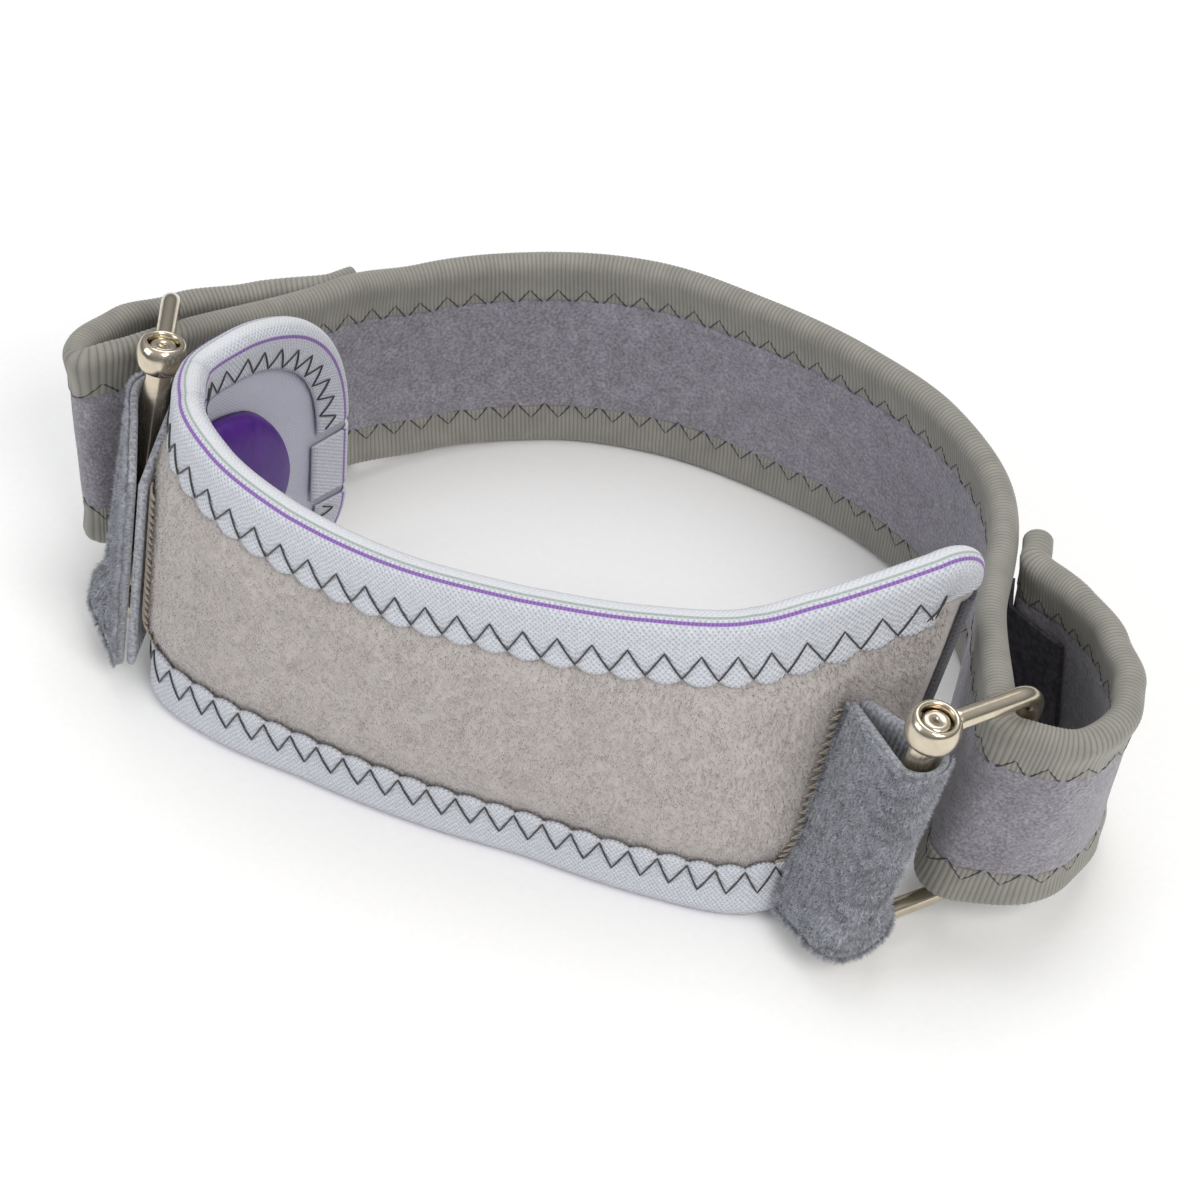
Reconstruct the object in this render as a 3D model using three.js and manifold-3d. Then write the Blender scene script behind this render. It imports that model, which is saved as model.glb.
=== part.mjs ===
// Patella strap: a padded front piece, two wire rings on plush tabs, and one long strap
// that is threaded through both rings and fastened on its own back. Millimetres, +Z up.
// X runs from ring to ring, -Y is the padded front, and the strap stands on its lower edges.
// The origin is the middle of the footprint, on the floor.
import * as THREE from 'three';
import { mergeVertices } from 'three/addons/utils/BufferGeometryUtils.js';
import Module from 'manifold-3d';

// Driving dimensions of the strap
const STRAP_WIDTH = 40;
const STRAP_THICKNESS = 3.8;
const STRAP_EDGE_THICKNESS = 2.4;
const STRAP_TAPE = 0.9;
const STRAP_TAPE_DEPTH = 8;
const BACK_HALF_WIDTH = 70;
const BACK_DEPTH = 62;
const LOOP_REACH = 30;
const PATCH_LENGTH = 16;
const PATCH_THICKNESS = 0.7;
const PATCH_MARGIN = 2.8;

// Driving dimensions of the pad
const PAD_HALF_WIDTH = 66;
const PAD_DEPTH = 44;
const PAD_HEIGHT = 54;
const COVER_THICKNESS = 3.2;
const COVER_BULGE = 0.5;
const COVER_EDGE_THICKNESS = 1.4;
const LINING_THICKNESS = 0.7;
const PAD_TAPE = 0.8;
const PAD_TAPE_DEPTH = 11;
const PAD_TAPE_INNER_DEPTH = 8;
const END_TAPE_WIDTH = 9;
const CUSHION_LENGTH = 142;
const CUSHION_MARGIN = 1;
const CUSHION_SEAT_GAP = 0.85;
const CUSHION_THICKNESS = 5;

// Driving dimensions of the rings and tabs
const WIRE = 3.2;
const RING_HEIGHT = 46.5;
const RING_DEPTH = 19.5;
const RING_CORNER = 4;
const PIN = 4.4;
const EYE_WALL = 1.6;
const EYE_HEIGHT = 5;
const TAB_THICKNESS = 1.5;
const TAB_TOP = 17;

// Clearance between touching pieces
const GAP = 0.3;

const EYE_RADIUS = PIN / 2 + GAP + EYE_WALL;

const COLOURS = {
  strap: 0x7d787f, strapTape: 0x8f8d86, hook: 0x47454d, plush: 0xaaa39c, lining: 0xc3c4d2,
  padTape: 0xc9ccd6, cushion: 0x4a1f7a, tab: 0x74767f, metal: 0xc8c0a8,
};

const wasm = await Module();
wasm.setup();

const group = new THREE.Group();
const body = new THREE.Group();
group.add(body);

function addPiece(name, geometry, colour, roughness = 0.9, metalness = 0) {
  const material = new THREE.MeshStandardMaterial({ color: colour, roughness, metalness });
  const mesh = new THREE.Mesh(geometry, material);
  mesh.name = name;
  body.add(mesh);
  return mesh;
}

const vec2 = (x, y) => new THREE.Vector2(x, y);
const vec3 = (x, y, z) => new THREE.Vector3(x, y, z);
const lerp = THREE.MathUtils.lerp;

// Signed volume of an indexed mesh, used to turn its faces outward.
function signedVolume(points, faces) {
  let volume = 0;
  for (const [a, b, c] of faces) {
    volume += points[a].dot(points[b].clone().cross(points[c])) / 6;
  }
  return volume;
}

// A closed solid through a row of closed sections with the same number of points.
// The two end sections are capped by triangulating the flat outline they were drawn from.
function loftSections(sections, outline) {
  const count = outline.length;
  const points = sections.flat();
  const faces = [];
  for (let i = 0; i + 1 < sections.length; i += 1) {
    for (let j = 0; j < count; j += 1) {
      const k = (j + 1) % count;
      const a = i * count + j;
      const b = i * count + k;
      faces.push([a, b, b + count], [a, b + count, a + count]);
    }
  }
  const last = (sections.length - 1) * count;
  const turn = Math.sign(THREE.ShapeUtils.area(outline));
  for (const [a, b, c] of THREE.ShapeUtils.triangulateShape(outline, [])) {
    const corner = [outline[a], outline[b], outline[c]];
    const [q, r] = Math.sign(THREE.ShapeUtils.area(corner)) === turn ? [b, c] : [c, b];
    faces.push([a, r, q], [last + a, last + q, last + r]);
  }
  const outward = signedVolume(points, faces) > 0;
  const geometry = new THREE.BufferGeometry();
  geometry.setFromPoints(points);
  geometry.setIndex(faces.flatMap(([a, b, c]) => (outward ? [a, b, c] : [a, c, b])));
  geometry.computeVertexNormals();
  return geometry;
}

// The two ring places: where the pin stands at the middle of its height, the way from the pin
// to the far bar, how far the top leans over the ring's height, and how far the ring's lowest
// point hangs above the floor.
const RINGS = {
  right: { pin: [68.0, -22.6], way: [0.38, 0.925], lean: [10.8, 2.8], hang: 2.5 },
  left: { pin: [-70.6, -27.5], way: [-0.58, 0.815], lean: [3.6, 10.4], hang: 4.5 },
};

// The axes of one ring, worked out from its place.
function ringFrame({ pin, way, lean, hang }) {
  const up = vec3(lean[0], lean[1], RING_HEIGHT).normalize();
  const side = up.clone().cross(vec3(way[0], way[1], 0)).normalize();
  const across = side.clone().cross(up).normalize();
  const half = RING_HEIGHT / 2;
  const tilt = Math.hypot(up.x, up.y);
  const eyeLow = (half + EYE_HEIGHT / 2) * up.z + EYE_RADIUS * tilt;
  const farLow = half * up.z - RING_DEPTH * across.z + WIRE / 2;
  const height = Math.max(eyeLow, farLow) + hang;
  return { pin: vec3(pin[0], pin[1], height), up, across, side };
}

const ringPoint = (frame, across, height, side = 0) => frame.pin.clone()
  .addScaledVector(frame.across, across)
  .addScaledVector(frame.up, height)
  .addScaledVector(frame.side, side);

// Strap route. Each row is one place on the middle line of the strap at half its height:
// x and y as shares of the named size for its stretch, lean toward +X and +Y as shares of
// the height, and lift of the lower edge as a share of its lift where it rides in the rings.
const BACK_ROWS = [
  // x of half width, y of depth, lean x, lean y, lift
  { x: 0.83, y: 0.27, leanX: 0.12, leanY: 0.05, lift: 0.45 },
  { x: 0.77, y: 0.46, leanX: 0.06, leanY: 0.04, lift: 0.1 },
  { x: 0.65, y: 0.69, leanX: 0.03, leanY: 0.03, lift: 0 },
  { x: 0.42, y: 0.87, leanX: 0.0, leanY: 0.03, lift: 0 },
  { x: 0.15, y: 0.955, leanX: 0.0, leanY: 0.0, lift: 0 },
  { x: -0.15, y: 0.97, leanX: 0.0, leanY: 0.0, lift: 0 },
  { x: -0.43, y: 0.93, leanX: 0.0, leanY: 0.02, lift: 0 },
  { x: -0.68, y: 0.79, leanX: 0.01, leanY: 0.0, lift: 0 },
  { x: -0.88, y: 0.54, leanX: 0.03, leanY: 0.0, lift: 0.1 },
  { x: -0.99, y: 0.27, leanX: 0.07, leanY: 0.08, lift: 0.4 },
];

// The outer loops, measured from the far bar as shares of LOOP_REACH, from the bar outward.
const LOOP_ROWS = {
  right: [
    { x: 0.33, y: 0.0, leanX: 0.20, leanY: -0.02, lift: 1 },
    { x: 0.40, y: 0.25, leanX: 0.19, leanY: 0.02, lift: 0.9 },
    { x: 0.34, y: 0.53, leanX: 0.12, leanY: 0.0, lift: 0.8 },
    { x: 0.16, y: 0.81, leanX: 0.03, leanY: -0.04, lift: 0.6 },
    { x: -0.14, y: 1.06, leanX: -0.02, leanY: -0.04, lift: 0.3 },
  ],
  left: [
    { x: -0.01, y: -0.32, leanX: 0.05, leanY: 0.12, lift: 0.95 },
    { x: -0.11, y: -0.42, leanX: 0.02, leanY: 0.0, lift: 0.9 },
    { x: -0.215, y: -0.24, leanX: 0.0, leanY: -0.08, lift: 0.85 },
    { x: -0.235, y: 0.08, leanX: 0.0, leanY: -0.08, lift: 0.7 },
    { x: -0.15, y: 0.43, leanX: 0.0, leanY: -0.05, lift: 0.4 },
    { x: 0.05, y: 0.80, leanX: 0.0, leanY: -0.01, lift: 0.15 },
  ],
};

// The turn round each far bar: first and last angle of the strap's middle line as seen from
// the bar, in degrees in plan, on the side of the pin.
const WRAPS = {
  right: { from: 195, to: 285 },
  left: { from: 345, to: 318 },
};

const STRAP_HALF = STRAP_THICKNESS / 2;
const TAPE_HALF = STRAP_EDGE_THICKNESS / 2 + GAP + STRAP_TAPE;
const WRAP_RADIUS = WIRE / 2 + GAP + TAPE_HALF;
const WRAP_STEPS = 4;
const STRAP_MID = STRAP_WIDTH / 2;

// Height of the strap's lower edge where it turns round a far bar: clear of the lower bar.
function rideHeight(frame) {
  const bar = ringPoint(frame, RING_DEPTH - WRAP_RADIUS, -RING_HEIGHT / 2);
  return bar.z + WIRE / 2 + 4 * GAP;
}

// One row of the route made into a place with its lean and lift.
const routeRow = (x, y, row, ride) => ({
  x, y, leanX: row.leanX, leanY: row.leanY, lift: row.lift * ride,
});

function wrapRows(side) {
  const frame = ringFrame(RINGS[side]);
  const { from, to } = WRAPS[side];
  const leanX = frame.up.x / frame.up.z;
  const leanY = frame.up.y / frame.up.z;
  const ride = rideHeight(frame);
  const middle = ride + STRAP_MID * frame.up.z;
  const start = ringPoint(frame, RING_DEPTH, 0);
  const bar = start.addScaledVector(frame.up, (middle - start.z) / frame.up.z);
  const rows = [];
  for (let i = 0; i <= WRAP_STEPS; i += 1) {
    const angle = THREE.MathUtils.degToRad(lerp(from, to, i / WRAP_STEPS));
    const x = bar.x + WRAP_RADIUS * Math.cos(angle);
    const y = bar.y + WRAP_RADIUS * Math.sin(angle);
    rows.push({ x, y, leanX, leanY, lift: ride });
  }
  return { rows, bar, ride };
}

// The loop's last stretch lies on the outside of the back band, under its hook patch.
const TAIL_OFFSET = STRAP_THICKNESS + PATCH_THICKNESS + 3 * GAP;

function backCurvePlan() {
  return new THREE.CatmullRomCurve3(
    BACK_ROWS.map((row) => vec3(row.x * BACK_HALF_WIDTH, row.y * BACK_DEPTH, 0)),
    false,
    'centripetal',
  );
}

// Lean and lift of the back band at a share of its route.
function backLean(share) {
  const row = share * (BACK_ROWS.length - 1);
  const first = Math.min(BACK_ROWS.length - 2, Math.floor(row));
  const pick = (key) => lerp(BACK_ROWS[first][key], BACK_ROWS[first + 1][key], row - first);
  return { leanX: pick('leanX'), leanY: pick('leanY'), lift: pick('lift') };
}

// Places along the outside of the back band, at some shares of its route.
function tailRows({ shares, lift }, ride) {
  const curve = backCurvePlan();
  return shares.map((share) => {
    const place = curve.getPoint(share);
    const way = curve.getTangent(share);
    const out = vec3(-way.y, way.x, 0).normalize();
    if (out.dot(vec3(place.x, place.y - BACK_DEPTH / 4, 0)) < 0) out.negate();
    place.addScaledVector(out, TAIL_OFFSET);
    return routeRow(place.x, place.y, backLean(share), ride * lift);
  });
}

// Shares of the back route where each tail lies, and how much of its lift is left there.
const TAILS = {
  right: { shares: [0.11, 0.13, 0.15], lift: 1 },
  left: { shares: [0.985, 0.97, 0.955], lift: 0.25 },
};

function strapRoute() {
  const right = wrapRows('right');
  const left = wrapRows('left');
  const loop = (side, { bar, ride }) => LOOP_ROWS[side].map((row) => routeRow(
    bar.x + row.x * LOOP_REACH,
    bar.y + row.y * LOOP_REACH,
    row,
    ride,
  ));
  const back = BACK_ROWS.map((row) => routeRow(
    row.x * BACK_HALF_WIDTH,
    row.y * BACK_DEPTH,
    row,
    row.x > 0 ? right.ride : left.ride,
  ));
  return [
    ...tailRows(TAILS.right, right.ride).reverse(),
    ...loop('right', right).reverse(),
    ...right.rows.reverse(),
    ...back,
    ...left.rows,
    ...loop('left', left),
    ...tailRows(TAILS.left, left.ride),
  ];
}

// A smooth ribbon through the route: places, outward normals and the leaning upright.
function ribbonFrames(rows, steps) {
  const line = new THREE.CatmullRomCurve3(rows.map((r) => vec3(r.x, r.y, 0)), false, 'centripetal');
  const frames = [];
  const last = rows.length - 1;
  for (let i = 0; i < last; i += 1) {
    const share = (t) => (i + t) / last;
    const length = line.getPoint(share(0)).distanceTo(line.getPoint(share(1)));
    const count = Math.max(1, Math.round(length / steps));
    for (let j = 0; j < count + (i === last - 1 ? 1 : 0); j += 1) {
      const t = j / count;
      const place = line.getPoint(share(t));
      const way = line.getTangent(share(t));
      const blend = t * t * (3 - 2 * t);
      const pick = (key) => lerp(rows[i][key], rows[i + 1][key], blend);
      const up = vec3(pick('leanX'), pick('leanY'), 1).normalize();
      const normal = vec3(-way.y, way.x, 0).normalize();
      normal.addScaledVector(up, -normal.dot(up)).normalize();
      place.z = pick('lift') + STRAP_MID * up.z;
      frames.push({ place, normal, up });
    }
  }
  return frames;
}

const ROUTE_STEP = 6;
const STRAP_FRAMES = ribbonFrames(strapRoute(), ROUTE_STEP);

const ribbonSection = (frame, outline) => outline.map((p) => frame.place.clone()
  .addScaledVector(frame.normal, p.x)
  .addScaledVector(frame.up, p.y));

const sweepRibbon = (frames, outline) => loftSections(
  frames.map((frame) => ribbonSection(frame, outline)),
  outline,
);

// The strap's section: full thickness between the tapes, thinner where they grip it.
function strapOutline() {
  const edge = STRAP_EDGE_THICKNESS / 2;
  const top = STRAP_MID - STRAP_TAPE - GAP;
  const step = STRAP_MID - STRAP_TAPE_DEPTH - GAP;
  return [
    vec2(edge, -top), vec2(edge, -step), vec2(STRAP_HALF, -step), vec2(STRAP_HALF, step),
    vec2(edge, step), vec2(edge, top), vec2(-edge, top), vec2(-edge, step),
    vec2(-STRAP_HALF, step), vec2(-STRAP_HALF, -step), vec2(-edge, -step), vec2(-edge, -top),
  ];
}

// A tape folded over an edge at height STRAP_MID, as a channel that opens downward.
function tapeOutline(sign) {
  const inner = STRAP_EDGE_THICKNESS / 2 + GAP;
  const floor = STRAP_MID - STRAP_TAPE_DEPTH;
  const roof = STRAP_MID - STRAP_TAPE;
  const shoulder = STRAP_MID - TAPE_HALF * 0.6;
  const rounded = TAPE_HALF * 0.45;
  return [
    vec2(TAPE_HALF, floor), vec2(TAPE_HALF, shoulder), vec2(rounded, STRAP_MID),
    vec2(-rounded, STRAP_MID), vec2(-TAPE_HALF, shoulder), vec2(-TAPE_HALF, floor),
    vec2(-inner, floor), vec2(-inner, roof), vec2(inner, roof), vec2(inner, floor),
  ].map((p) => vec2(p.x, p.y * sign));
}

addPiece('strap', sweepRibbon(STRAP_FRAMES, strapOutline()), COLOURS.strap);
addPiece('strap_top_binding', sweepRibbon(STRAP_FRAMES, tapeOutline(1)), COLOURS.strapTape);
addPiece('strap_bottom_binding', sweepRibbon(STRAP_FRAMES, tapeOutline(-1)), COLOURS.strapTape);

// Hook patches between each free end and the back band that it is pressed onto.
function hookPatch(frames, sign) {
  const inner = sign * (STRAP_HALF + 1.5 * GAP);
  const outer = inner + sign * PATCH_THICKNESS;
  const half = STRAP_MID - STRAP_TAPE_DEPTH - PATCH_MARGIN;
  const outline = [vec2(inner, -half), vec2(outer, -half), vec2(outer, half), vec2(inner, half)];
  return sweepRibbon(frames, outline);
}

function framesWithin(frames, length) {
  const picked = [frames[0]];
  let travelled = 0;
  for (let i = 1; i < frames.length; i += 1) {
    travelled += frames[i].place.distanceTo(frames[i - 1].place);
    picked.push(frames[i]);
    if (travelled >= length) break;
  }
  return picked;
}

const RIGHT_TAIL = framesWithin(STRAP_FRAMES, PATCH_LENGTH);
const LEFT_TAIL = framesWithin([...STRAP_FRAMES].reverse(), PATCH_LENGTH);
addPiece('hook_patch_right', hookPatch(RIGHT_TAIL, -1), COLOURS.hook);
addPiece('hook_patch_left', hookPatch(LEFT_TAIL, -1), COLOURS.hook);

// Pad route at half height, outer face: x as a share of PAD_HALF_WIDTH, y of PAD_DEPTH, and
// the inward lean at the top as a share of the pad's height. From the left end to the right.
const PAD_ROWS = [
  { x: -0.83, y: 0.52, lean: 0.06 },
  { x: -0.88, y: 0.18, lean: 0.08 },
  { x: -0.92, y: -0.14, lean: 0.10 },
  { x: -0.95, y: -0.43, lean: 0.12 },
  { x: -0.955, y: -0.72, lean: 0.14 },
  { x: -0.865, y: -0.91, lean: 0.14 },
  { x: -0.68, y: -0.99, lean: 0.08 },
  { x: -0.42, y: -0.99, lean: 0.02 },
  { x: -0.10, y: -0.94, lean: 0.0 },
  { x: 0.18, y: -0.84, lean: 0.0 },
  { x: 0.45, y: -0.73, lean: 0.05 },
  { x: 0.69, y: -0.57, lean: 0.10 },
  { x: 0.79, y: -0.38, lean: 0.08 },
  { x: 0.865, y: -0.18, lean: 0.04 },
  { x: 0.93, y: 0.02, lean: 0.0 },
  { x: 1.0, y: 0.24, lean: 0.0 },
];

// The pad's two ends: distance along the pad from its middle at half height, slant of the end
// edge outward at the top, and the radii of its upper and lower corners.
const PAD_ENDS = {
  left: { reach: 95.5, rise: 30, slant: 0.02, upper: 52, lower: 14, full: [12, 28] },
  right: { reach: 88, rise: 7, slant: 0.34, upper: 8, lower: 12, full: [12, 23] },
};
const PAD_MIDDLE_SHARE = 0.533;
const PAD_LIFT = 2;
const PAD_SMALL = 1;

const PAD_LINE = new THREE.CatmullRomCurve3(
  PAD_ROWS.map((row) => vec3(row.x * PAD_HALF_WIDTH, row.y * PAD_DEPTH, 0)),
  false,
  'centripetal',
);
const PAD_LENGTH = PAD_LINE.getLength();
const PAD_MID = PAD_HEIGHT / 2;

// How far along one side of the pad a place is, from 0 at its middle to 1 at its end.
const endShare = (along) => Math.min(
  1,
  Math.abs(along) / (along < 0 ? PAD_ENDS.left.reach : PAD_ENDS.right.reach),
);

const slantAt = (along) => (along < 0 ? -PAD_ENDS.left.slant : PAD_ENDS.right.slant)
  * endShare(along) ** 2;

// The upper edge is concave and rises to both ends; the lower one lifts a little near them.
const upperEdge = (along) => PAD_HEIGHT
  + (along < 0 ? PAD_ENDS.left.rise : PAD_ENDS.right.rise) * endShare(along) ** 2;
const lowerEdge = (along) => PAD_LIFT * THREE.MathUtils.smoothstep(endShare(along), 0.6, 1);

// A place on the pad: distance along it, height, and distance out from its outer face.
function padPoint(along, height, out) {
  const slanted = along + slantAt(along) * (height - PAD_MID);
  const share = THREE.MathUtils.clamp(PAD_MIDDLE_SHARE + slanted / PAD_LENGTH, 0, 1);
  const beyond = slanted - (share - PAD_MIDDLE_SHARE) * PAD_LENGTH;
  const place = PAD_LINE.getPointAt(share);
  const way = PAD_LINE.getTangentAt(share);
  place.addScaledVector(way, beyond);
  const normal = vec3(way.y, -way.x, 0).normalize();
  const row = PAD_LINE.getUtoTmapping(share) * (PAD_ROWS.length - 1);
  const first = Math.min(PAD_ROWS.length - 2, Math.floor(row));
  const lean = lerp(PAD_ROWS[first].lean, PAD_ROWS[first + 1].lean, row - first);
  place.addScaledVector(normal, out - lean * (height - PAD_MID));
  place.z = height;
  return place;
}

// The pad's outline in along and height: corner arcs at both ends, drawn once round.
const CORNER_STEPS = 8;
const EDGE_STEP = 5;

function cornerArc(centre, radius, from, to) {
  const points = [];
  for (let i = 0; i <= CORNER_STEPS; i += 1) {
    const angle = THREE.MathUtils.degToRad(lerp(from, to, i / CORNER_STEPS));
    points.push(vec2(centre.x + radius * Math.cos(angle), centre.y + radius * Math.sin(angle)));
  }
  return points;
}

// Height limits of the pad at a place, with the corner arcs taken into account.
function padLimits(along, inset) {
  const end = along < 0 ? PAD_ENDS.left : PAD_ENDS.right;
  const fromEnd = end.reach - inset - Math.abs(along);
  const round = (radius) => {
    const r = Math.max(radius - inset, PAD_SMALL);
    if (fromEnd >= r) return 0;
    return r - Math.sqrt(Math.max(0, r * r - (r - fromEnd) ** 2));
  };
  return {
    low: lowerEdge(along) + inset + round(end.lower),
    high: upperEdge(along) - inset - round(end.upper),
  };
}

// Stations along the pad: even steps, and finer ones in the corner arcs.
function padStations(inset) {
  const { left, right } = PAD_ENDS;
  const stations = [];
  const cornerSpan = (end) => Math.max(end.upper, end.lower);
  const ease = (i) => 1 - Math.cos((i / CORNER_STEPS) * (Math.PI / 2));
  for (let i = 0; i < CORNER_STEPS; i += 1) {
    stations.push(-left.reach + inset + ease(i) * cornerSpan(left));
  }
  const start = -left.reach + inset + cornerSpan(left);
  const stop = right.reach - inset - cornerSpan(right);
  const count = Math.round((stop - start) / EDGE_STEP);
  for (let i = 0; i <= count; i += 1) stations.push(lerp(start, stop, i / count));
  for (let i = CORNER_STEPS - 1; i >= 0; i -= 1) {
    stations.push(right.reach - inset - ease(i) * cornerSpan(right));
  }
  return stations;
}

// How full the cover is: thin under the corner arcs, full thickness further in.
function plumpness(along) {
  const end = along < 0 ? PAD_ENDS.left : PAD_ENDS.right;
  return THREE.MathUtils.smoothstep(end.reach - Math.abs(along), end.full[0], end.full[1]);
}

// A layer of the pad: its section is given as rows of height share, inner and outer offset.
function padLayer(inset, sectionRows) {
  const outline = sectionRows.map((row) => vec2(row.out, row.height));
  const sections = padStations(inset).map((along) => {
    const { low, high } = padLimits(along, inset);
    const height = (share, shift) => {
      const limit = (high - low) / 2 - 0.1;
      return lerp(low, high, share) + Math.sign(shift) * Math.min(Math.abs(shift), limit);
    };
    const out = (row) => Math.min(row.out, lerp(-COVER_STEP, row.out, plumpness(along)));
    return sectionRows.map((row) => padPoint(along, height(row.share, row.shift), out(row)));
  });
  return loftSections(sections, outline);
}

// Offsets of the layers from the pad's outer face at the edges, positive outward.
const LAYER_GAP = 0.55;
const LINING_OUT = -COVER_THICKNESS - LAYER_GAP;
const COVER_STEP = COVER_THICKNESS - COVER_EDGE_THICKNESS;

// A row of a layer's section: a share of the height plus a shift from it, and the offset out.
function sectionRow(share, shift, out) {
  return { share, shift, out, height: share * PAD_HEIGHT + shift };
}

function coverRows() {
  const grip = PAD_TAPE_DEPTH - PAD_TAPE;
  return [
    sectionRow(0, 0, -COVER_THICKNESS), sectionRow(0, 0, -COVER_STEP),
    sectionRow(0, grip, -COVER_STEP), sectionRow(0, grip + 1, 0), sectionRow(0.5, 0, COVER_BULGE),
    sectionRow(1, -grip - 1, 0), sectionRow(1, -grip, -COVER_STEP),
    sectionRow(1, 0, -COVER_STEP), sectionRow(1, 0, -COVER_THICKNESS),
    sectionRow(0.5, 0, -COVER_THICKNESS),
  ];
}

function liningRows() {
  const back = LINING_OUT - LINING_THICKNESS;
  return [
    sectionRow(0, 0, back), sectionRow(0, 0, LINING_OUT), sectionRow(0.5, 0, LINING_OUT),
    sectionRow(1, 0, LINING_OUT), sectionRow(1, 0, back), sectionRow(0.5, 0, back),
  ];
}

const PAD_INSET = PAD_TAPE + GAP;
addPiece('pad_cover', padLayer(PAD_INSET, coverRows()), COLOURS.plush);
addPiece('pad_lining', padLayer(PAD_INSET, liningRows()), COLOURS.lining);

const CUSHION_CENTRE = -9;

// The cushion: a long oval on the inside of the lining, thin at its rim.
function cushionGeometry() {
  const steps = 18;
  const seat = LINING_OUT - LINING_THICKNESS - CUSHION_SEAT_GAP;
  const outline = [];
  const rim = [[0.0, 1], [0.55, 1], [0.9, 0.8], [1, 0.3]];
  for (const [depth, share] of rim) outline.push(vec2(-depth * CUSHION_THICKNESS, share));
  for (const [depth, share] of [...rim].reverse()) {
    outline.push(vec2(-depth * CUSHION_THICKNESS, -share));
  }
  const round = PAD_MID - PAD_TAPE_INNER_DEPTH - CUSHION_MARGIN;
  const sections = [];
  for (let i = 0; i <= steps; i += 1) {
    const along = -(CUSHION_LENGTH / 2) * Math.cos((i / steps) * Math.PI);
    const fromEnd = Math.max(0.4, CUSHION_LENGTH / 2 - Math.abs(along));
    const swell = fromEnd >= round ? 1 : Math.sqrt(1 - ((round - fromEnd) / round) ** 2);
    const place = along + CUSHION_CENTRE;
    const { low, high } = padLimits(place, 0);
    sections.push(outline.map((p) => padPoint(
      place,
      (low + high) / 2 + p.y * round * swell,
      seat + p.x * Math.max(0.25, Math.sqrt(swell)),
    )));
  }
  return loftSections(sections, outline);
}

addPiece('gel_cushion', cushionGeometry(), COLOURS.cushion, 0.35);

// Pad edge tapes follow the pad's edge in along and height, as a channel folded over it.
function edgePath(upper) {
  const path = [];
  for (const along of padStations(0)) {
    const { low, high } = padLimits(along, 0);
    path.push(vec2(along, upper ? high : low));
  }
  return path;
}

// Trims the path at both ends so that the tape stops partly down the end corners.
function trimPath(path, stop) {
  return path.filter((p) => p.x > -PAD_ENDS.left.reach + stop.left
    && p.x < PAD_ENDS.right.reach - stop.right);
}

function channelOutline(outerDepth, innerDepth) {
  const front = -COVER_STEP + LAYER_GAP;
  const face = front + PAD_TAPE;
  const back = LINING_OUT - LINING_THICKNESS - LAYER_GAP;
  const rear = back - PAD_TAPE;
  const soft = PAD_TAPE * 0.8;
  return [
    vec2(front, outerDepth), vec2(face, outerDepth), vec2(face, soft), vec2(face - soft, 0),
    vec2(rear + soft, 0), vec2(rear, soft), vec2(rear, innerDepth), vec2(back, innerDepth),
    vec2(back, PAD_TAPE), vec2(front, PAD_TAPE),
  ];
}

function edgeTape(path, outline) {
  const sections = path.map((p, i) => {
    const before = path[Math.max(0, i - 1)];
    const after = path[Math.min(path.length - 1, i + 1)];
    const way = after.clone().sub(before).normalize();
    const inward = vec2(way.y, -way.x);
    const toMiddle = vec2(p.x / 2, PAD_MID).sub(p);
    if (inward.dot(toMiddle) < 0) inward.negate();
    return outline.map((q) => {
      const place = p.clone().addScaledVector(inward, q.y);
      return padPoint(place.x, place.y, q.x);
    });
  });
  return loftSections(sections, outline);
}

const TOP_STOPS = { left: 1.2, right: 0.4 };
const BOTTOM_STOPS = { left: 2.4, right: 10 };
addPiece(
  'pad_top_binding',
  edgeTape(trimPath(edgePath(true), TOP_STOPS), channelOutline(PAD_TAPE_DEPTH, PAD_TAPE_INNER_DEPTH)),
  COLOURS.padTape,
);
addPiece(
  'pad_bottom_binding',
  edgeTape(trimPath(edgePath(false), BOTTOM_STOPS), channelOutline(PAD_TAPE_DEPTH, PAD_TAPE_INNER_DEPTH)),
  COLOURS.padTape,
);

const END_TAPE_STEPS = 4;
const END_TAPE_CLEARANCE = 2;
const END_TAPE_LIP = 2.2;

// A tape folded over the straight stretch of each slanted end, broad on the inside.
function endTape(side) {
  const end = PAD_ENDS[side];
  const along = side === 'left' ? -end.reach : end.reach;
  const bottom = lowerEdge(along) + end.lower + END_TAPE_CLEARANCE;
  const top = upperEdge(along) - end.upper - END_TAPE_CLEARANCE;
  const path = [];
  for (let i = 0; i <= END_TAPE_STEPS; i += 1) {
    path.push(vec2(along, lerp(bottom, top, i / END_TAPE_STEPS)));
  }
  return edgeTape(path, channelOutline(END_TAPE_LIP, END_TAPE_WIDTH));
}

addPiece('pad_end_binding_right', endTape('right'), COLOURS.padTape);
addPiece('pad_end_binding_left', endTape('left'), COLOURS.padTape);

// A solid from any closed geometry, for joining the wire to its eyes.
function solidOf(geometry) {
  geometry.deleteAttribute('normal');
  geometry.deleteAttribute('uv');
  const merged = mergeVertices(geometry, 1e-4);
  return new wasm.Manifold(new wasm.Mesh({
    numProp: 3,
    vertProperties: new Float32Array(merged.attributes.position.array),
    triVerts: new Uint32Array(merged.index.array),
  }));
}

function geometryOf(solid) {
  const mesh = solid.getMesh();
  const geometry = new THREE.BufferGeometry();
  geometry.setAttribute('position', new THREE.BufferAttribute(mesh.vertProperties, 3));
  geometry.setIndex(new THREE.BufferAttribute(mesh.triVerts, 1));
  geometry.computeVertexNormals();
  return geometry;
}

// Rings: a wire bent three ways, with an eye at each end round the pin. Drawn with the pin on
// the Z axis and the far bar along +X, then set into the ring's own axes.
const WIRE_SIDES = 8;
const EYE_SIDES = 16;
const BEND_STEPS = 4;

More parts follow.
